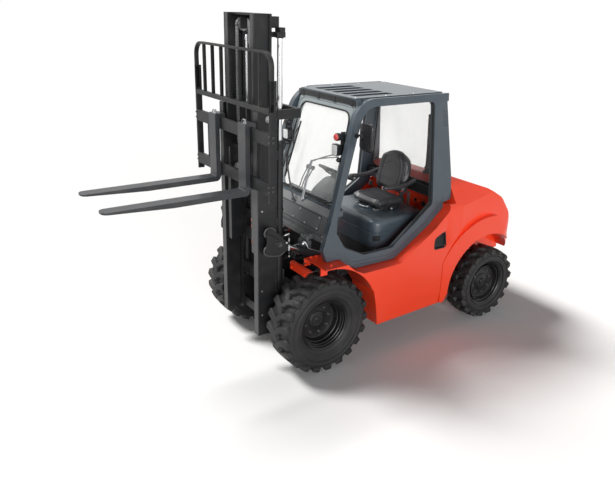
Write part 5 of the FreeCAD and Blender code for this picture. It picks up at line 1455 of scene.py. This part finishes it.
def makeLines():
    # ports, straps and a pipe along each tilt barrel, then the valve block with its hoses
    angle = math.atan2(1216 - 962, 306 + 262)
    along = np.array([math.cos(angle), 0, math.sin(angle)])
    up = np.array([-math.sin(angle), 0, math.cos(angle)])
    for side in (1, -1):
        word = sideName(side)
        base = at(-262, side * 388, 962)
        barrel = Shape()
        for reach in (0.062, 0.352):
            barrel.lathe([(0, 0), (0, 0.017), (0.014, 0.017), (0.014, 0.012), (0.022, 0.012), (0.022, 0)],
                         base + along * reach + up * 0.034,
                         up, 18)
            barrel.lathe([(-0.012, 0.0355), (-0.012, 0.041), (0.012, 0.041), (0.012, 0.0355)],
                         base + along * reach, along, 32)
        barrel.piece("tilt_ports_" + word, "mast", "tilt_barrel_" + word, "mast_black")
        fitting = Shape()
        for reach in (0.062, 0.352):
            fitting.bolts([base + along * reach + up * 0.052], up, 0.024, washer=False, head=0.7)
        out = np.array([0, side, 0])
        fitting.tube([base + along * a + up * b + out * c for a, b, c in
                      ((0.352, 0.064, 0), (0.346, 0.078, 0.003), (0.324, 0.066, 0.016),
                       (0.29, 0.037, 0.0275), (0.2, 0.034, 0.0285),
                       (0.12, 0.036, 0.0275), (0.084, 0.06, 0.018), (0.066, 0.076, 0.003),
                       (0.062, 0.064, 0))], lines["pipe"], 10)
        fitting.piece("tilt_pipe_" + word, "steel", "tilt_barrel_" + word, "chain_steel")
    block = Shape()
    block.block(at(-92, 212, 1060), at(-28, 340, 1150))
    for k in range(3):
        block.lathe([(0, 0), (0, 0.02), (0.03, 0.02), (0.034, 0.014), (0.05, 0.014), (0.05, 0)],
                    at(-60, 236 + k * 40, 1150), (0, 0, 1), 18)
    block.piece("valve_block", "cowl", "chassis", "chassis_black", bevel=0.003)
    hoses, ends = Shape(), Shape()
    for k in range(3):
        y = 234 + k * 40
        route = [at(-28, y, 1084 + k * 10), at(10, y, 1084 + k * 10), at(44, y - 20, 1060),
                 at(40, y - 60, 1000 - k * 14), at(-30, y - 110, 930),
                 at(-140, 150 - k * 30, 880), at(-240, 120 - k * 30, 850)]
        hoses.tube(route, lines["hose"], 12)
        ends.bolts([at(-28, y, 1084 + k * 10)], (1, 0, 0), 0.026, washer=False, head=1.0)
        ends.lathe([(0, 0), (0, 0.0125), (0.03, 0.0125), (0.03, 0)], at(-2, y, 1084 + k * 10), (1, 0, 0),
                   16)
    for k, y in enumerate((-300, -262)):
        hoses.tube([at(-96, y, 1120), at(-20, y, 1140), at(20, y + 10, 1090), at(0, y + 30, 1000),
                    at(-90, y + 60, 900), at(-220, -160, 850)],
                   lines["hose"], 12)
        ends.bolts([at(-98, y, 1118)], (1, 0, 0.2), 0.026, washer=False, head=1.0)
    hoses.piece("valve_hoses", "hose", "chassis", "black_plastic")
    ends.piece("valve_fittings", "zinc", "chassis", "chain_steel")


makeLines()
print("hydraulics made")


# body details: louvred vents, folded fender bars, tail lamps, rear grille, arch walls, hitch
bodyDetail = {"slats": 6, "grilleSlats": 11, "grille": (0.58, 0.27), "archWallY": 436,
              "archWall": ((-2.45, 0.62), (-2.43, 0.64), (-2.4, 0.668), (-2.362, 0.7), (-2.285, 0.745),
                           (-2.24, 0.768), (-2.16, 0.805), (-2.16, 1.0), (-2.56, 1.0), (-2.6, 0.9),
                           (-2.628, 0.8), (-2.628, 0.62))}


def panelY(x):
    # the side panel's outer face narrows from 771 to 704 mm between x -700 and -1732
    return np.interp(-x, [700, 1732], [771, 704])


def bodyDetails():
    # each vent is a funnel through the panel behind a rounded edge, with slats set at an angle
    vent = np.array([(-1306, 1060), (-1449, 1117), (-1485, 939), (-1305, 944)], float)
    middle = vent.mean(0)
    for side in (1, -1):
        word = sideName(side)
        backing = Shape()
        inner = roundLoop((middle + (vent - middle) * 0.985) / 1000, 0.02, 4)
        funnel = []
        for share, depth in ((1.06, 1.2), (0.97, 1.6), (0.955, -4.0), (0.93, -38.0)):
            loop = roundLoop((middle + (vent - middle) * share) / 1000, 0.034, 5) * 1000
            funnel.append([at(x, side * (panelY(x) + depth if depth > -9 else 684), z) for x, z in loop])
        liner = Shape().add(np.array(funnel), gridFaces(4, len(funnel[0]), False, True))
        recalculate(liner.piece("vent_liner_" + word, "plastic", "chassis", "black_plastic"))
        start = at(0, side * 680.5, 0)
        backing.prism(inner, start, (1, 0, 0), (0, 0, 1), -side * 0.003)
        recalculate(backing.piece("vent_back_" + word, "gasket", "chassis", "black_plastic"))
        slats = Shape()
        for k in range(bodyDetail["slats"]):
            z = 966 + k * 24
            left = np.interp(z, [939, 1117], [-1485, -1449]) + 8
            right = -1314 if z < 1050 else np.interp(z, [1060, 1117], [-1318, -1440])
            slats.rings(carried(np.array([at(left, side * 696, z), at(right, side * 696, z)]),
                                box2(0.03, 0.005, 0.002, 2) @ np.array([[0.72, 0.69], [-0.69, 0.72]])))
        recalculate(slats.piece("vent_slats_" + word, "plastic", "chassis", "black_plastic"))
        fillet = [[at(x, side * (panelY(x) + rise), z)
                   for x, z in roundLoop(middle + (vent - middle) * scale, bend, 8)]
                  for scale, bend, rise in ((1.1, 3, -2), (1.09, 6, 0.8), (1.02, 50, 1.2), (0.99, 48, -4),
                                            (0.98, 48, -30))]
        corners = Shape().add(np.array(fillet), gridFaces(5, len(fillet[0]), False, True))
        recalculate(corners.piece("vent_edge_" + word, "red", "chassis", "red_body"))
        foldedBar = Shape()
        profile = np.array([(0.15, 0.926), (0.15, 0.994), (0.144, 1.0), (0.108, 1.0), (0.108, 0.996),
                            (0.142, 0.996), (0.146, 0.992), (0.146, 0.926)])
        ends = [[(x + at(0, 0, 0)[0], side * (y + (z - 0.926) * lean), z) for x, z in profile]
                for y, lean in ((0.352, 0), (0.6, 0.9))]
        foldedBar.rings(np.array(ends))
        recalculate(foldedBar.piece("fender_bar_" + word, "red", "chassis", "red_body", bevel=0.0015))
        stays = Shape()
        for y in (446, 640):
            stays.block(at(40, side * y, 984), at(145, side * (y + 8), 992))
        stays.piece("fender_stays_" + word, "chassis", "chassis", "chassis_black", bevel=0.001)
        screws = Shape().bolts([at(150, side * y, 950) for y in (384, 590)], (1, 0, 0), 0.014)
        screws.bolts([at(x, side * 452, 1036) for x in (-10, -70)] + [at(-60, side * 700, 1036)], (0, 0, 1),
                     0.018)
        screws.piece("fender_screws_" + word, "red", "chassis", "red_body")
        lampBase = Shape().rings(carried(np.array([at(-2599, side * 420, 772), at(-2636, side * 420, 772),
                                                   at(-2639, side * 420, 772)]),
                                         box2(0.2, 0.086, 0.02, 4), [1, 1, 0.96]))
        recalculate(lampBase.piece("tail_lamp_" + word, "gloss", "chassis", "lamp_housing"))
    redFace, amberFace = Shape(), Shape()
    for side in (1, -1):
        redFace.rings(carried(np.array([at(-2634, side * 380, 772), at(-2638.5, side * 380, 772),
                                        at(-2639.8, side * 380, 772)]),
                              box2(0.09, 0.068, 0.014, 4), [1, 0.97, 0.8]))
        amberFace.rings(carried(np.array([at(-2634, side * 470, 772), at(-2638.5, side * 470, 772),
                                          at(-2639.8, side * 470, 772)]),
                                box2(0.074, 0.068, 0.014, 4), [1, 0.97, 0.8]))
    recalculate(redFace.piece("tail_lens_red", "redLens", "chassis", "lamp_housing"))
    recalculate(amberFace.piece("tail_lens_amber", "amberLens", "chassis", "lamp_housing"))
    slope = np.array([250, 0, 335.0]) / 418.0
    square = np.array([-335.0, 0, 250]) / 418.0
    foot = at(-2548, 0, 1082)
    wide, tall = bodyDetail["grille"]
    grille = Shape()
    outer = roundLoop([(-wide / 2, 0), (wide / 2, 0), (wide / 2, tall), (-wide / 2, tall)], 0.03, 5)
    grille.prism(outer, foot - square * 0.012, (0, 1, 0), slope, -0.016)
    for k in range(bodyDetail["grilleSlats"]):
        rise = 0.02 + k * (tall - 0.04) / (bodyDetail["grilleSlats"] - 1)
        grille.bar(foot + np.array([0, -wide / 2 + 0.012, 0]) + slope * rise + square * 0.006,
                   foot + np.array([0, wide / 2 - 0.012, 0]) + slope * rise + square * 0.006, 0.01, 0.014,
                   0.003)
    recalculate(grille.piece("rear_grille", "plastic", "chassis", "black_plastic"))
    sealLoop("rear_grille_rim", [foot + np.array([0, a, 0]) + slope * b + square * 0.003 for a, b in outer],
             (0.016, 0.014), "plastic")
    for side in (1, -1):
        wall = Shape().prism(bodyDetail["archWall"], at(0, side * bodyDetail["archWallY"], 0), (1, 0, 0),
                             (0, 0, 1), 0.006)
        recalculate(wall.piece("arch_wall_" + sideName(side), "red", "chassis", "red_body", bevel=0.001))
    hitch = Shape()
    for z in (566, 640):
        hitch.block(at(-2622, -46, z), at(-2500, 46, z + 14))
    hitch.lathe([(0, 0), (0, 0.013), (0.13, 0.013), (0.13, 0.022), (0.142, 0.022), (0.142, 0)],
                at(-2592, 0, 545), (0, 0, 1), 20)
    hitch.tube([at(-2592, 14, 684), at(-2592, 34, 700), at(-2592, 0, 712), at(-2592, -34, 700),
                at(-2592, -14, 684)], 0.004, 8)
    hitch.piece("tow_hitch", "chassis", "chassis", "chassis_black", bevel=0.002)


bodyDetails()


# exhaust: a pipe with an open end on a bolted flange, clamped and leaning in
def makeExhaust():
    # the pipe's outer wall, then its inner wall from the open end back down
    line = smoothLine([at(-1562, 300, 1612), at(-1562, 300, 1720), at(-1562, 296, 1900),
                       at(-1562, 286, 2080), at(-1564, 279, 2196)], 6)
    outside = carried(line, circle(0.0375, 28))
    inside = carried(line, circle(0.0335, 28))[::-1][:8]
    pipe = Shape().rings(np.vstack([outside, inside]))
    recalculate(pipe.piece("exhaust_pipe", "stack", "chassis", "stack_steel", replaces=("exhaust_stack",)))
    base = Shape().lathe([(0.0005, 0), (0.0005, 0.061), (0.009, 0.061), (0.011, 0.059), (0.011, 0.045),
                          (0.03, 0.042), (0.03, 0.036)],
                         at(-1562, 300, 1606), (0, 0, 1), 36)
    base.lathe([(-0.011, 0.0375), (-0.011, 0.042), (0.011, 0.042), (0.011, 0.0375)], at(-1562, 300, 1662),
               (0, 0, 1), 30)
    base.block(at(-1530, 290, 1652), at(-1508, 310, 1672))
    base.bolts([at(-1562 + 52 * math.cos(k * math.pi / 2 + 0.8), 300 + 52 * math.sin(k * math.pi / 2 + 0.8),
                   1616.5) for k in range(4)],
               (0, 0, 1), 0.013)
    base.piece("exhaust_flange", "stack", "chassis", "stack_steel", bevel=0.0008)


makeExhaust()
print("body dressed")


# studio: camera, white floor, white surroundings and two suns
studio = {"camera": (3021.8, 4832.6, 3232.5), "yaw": 34.33, "pitch": 20.82, "roll": 1.43, "lens": 36.85,
          "floorTone": 0.4, "floorSeen": 0.92, "skyStrength": 0.12, "keyStrength": 3.6,
          "fillStrength": 3.0}


def makeStudio():
    # the floor and the surroundings are bright where they are seen and dim in the light they give
    scene = bpy.context.scene
    scene.view_settings.view_transform = "Standard"
    yaw, pitch, roll = [math.radians(studio[key]) for key in ("yaw", "pitch", "roll")]
    back = Vector((math.sin(yaw) * math.cos(pitch), math.cos(yaw) * math.cos(pitch), math.sin(pitch)))
    right = (-back).cross(Vector((0, 0, 1))).normalized()
    up = right.cross(-back)
    tilted = math.cos(roll) * right + math.sin(roll) * up
    risen = -math.sin(roll) * right + math.cos(roll) * up
    camera = bpy.data.objects.new("camera", bpy.data.cameras.new("camera"))
    camera.data.lens, camera.data.sensor_width = studio["lens"], 36
    camera.data.clip_start, camera.data.clip_end = 0.05, 200
    camera.matrix_world = Matrix.Translation(Vector(at(*studio["camera"]))) @ Matrix(
        [[tilted[k], risen[k], back[k]] for k in range(3)]).to_4x4()
    scene.collection.objects.link(camera)
    scene.camera = camera
    floor = Finish("floorWhite", (studio["floorTone"],) * 3, 0.9)
    rays = [floor.node("LightPath", {}, {}, name)
            for name in ("Is Camera Ray", "Is Glossy Ray", "Is Transmission Ray")]
    seen = (rays[0] + rays[1] + rays[2]).clip()
    pale = floor.mix(seen, (studio["floorTone"],) * 3, (studio["floorSeen"],) * 3)
    matt = floor.node("BsdfDiffuse", {}, {"Color": pale})
    floor.tree.links.new(matt.socket, floor.tree.nodes["Material Output"].inputs[0])
    bpy.ops.mesh.primitive_plane_add(size=120, location=(0, 0, 0))
    ground = bpy.context.object
    ground.name = "floor"
    ground.data.materials.append(floor.material)
    world = bpy.data.worlds.new("studio")
    world.use_nodes = True
    scene.world = world
    tree = world.node_tree
    light = tree.nodes.new("ShaderNodeLightPath")
    strength = tree.nodes.new("ShaderNodeMapRange")
    either = [tree.nodes.new("ShaderNodeMath") for k in range(2)]
    for add in either:
        add.operation = "MAXIMUM"
    tree.links.new(light.outputs["Is Camera Ray"], either[0].inputs[0])
    tree.links.new(light.outputs["Is Transmission Ray"], either[0].inputs[1])
    tree.links.new(either[0].outputs[0], either[1].inputs[0])
    tree.links.new(light.outputs["Is Glossy Ray"], either[1].inputs[1])
    tree.links.new(either[1].outputs[0], strength.inputs[0])
    strength.inputs[3].default_value, strength.inputs[4].default_value = studio["skyStrength"], 1.0
    tree.nodes["Background"].inputs[0].default_value = (1, 1, 1, 1)
    tree.links.new(strength.outputs[0], tree.nodes["Background"].inputs[1])
    for name, place, spread, power, tone in (
            ("keyLight", (3.4, -4.2, 8.0), 17, studio["keyStrength"], (1, 0.99, 0.97)),
            ("fillLight", (2.6, 9.0, 1.7), 40, studio["fillStrength"], (0.98, 0.99, 1))):
        lamp = bpy.data.objects.new(name, bpy.data.lights.new(name, "SUN"))
        lamp.data.energy, lamp.data.angle, lamp.data.color = power, math.radians(spread), tone
        lamp.matrix_world = Matrix.Translation(place) @ (Vector((0, 0, 1.0)) - Vector(place)).to_track_quat(
            "-Z", "Y").to_matrix().to_4x4()
        scene.collection.objects.link(lamp)


makeStudio()
print("studio set")
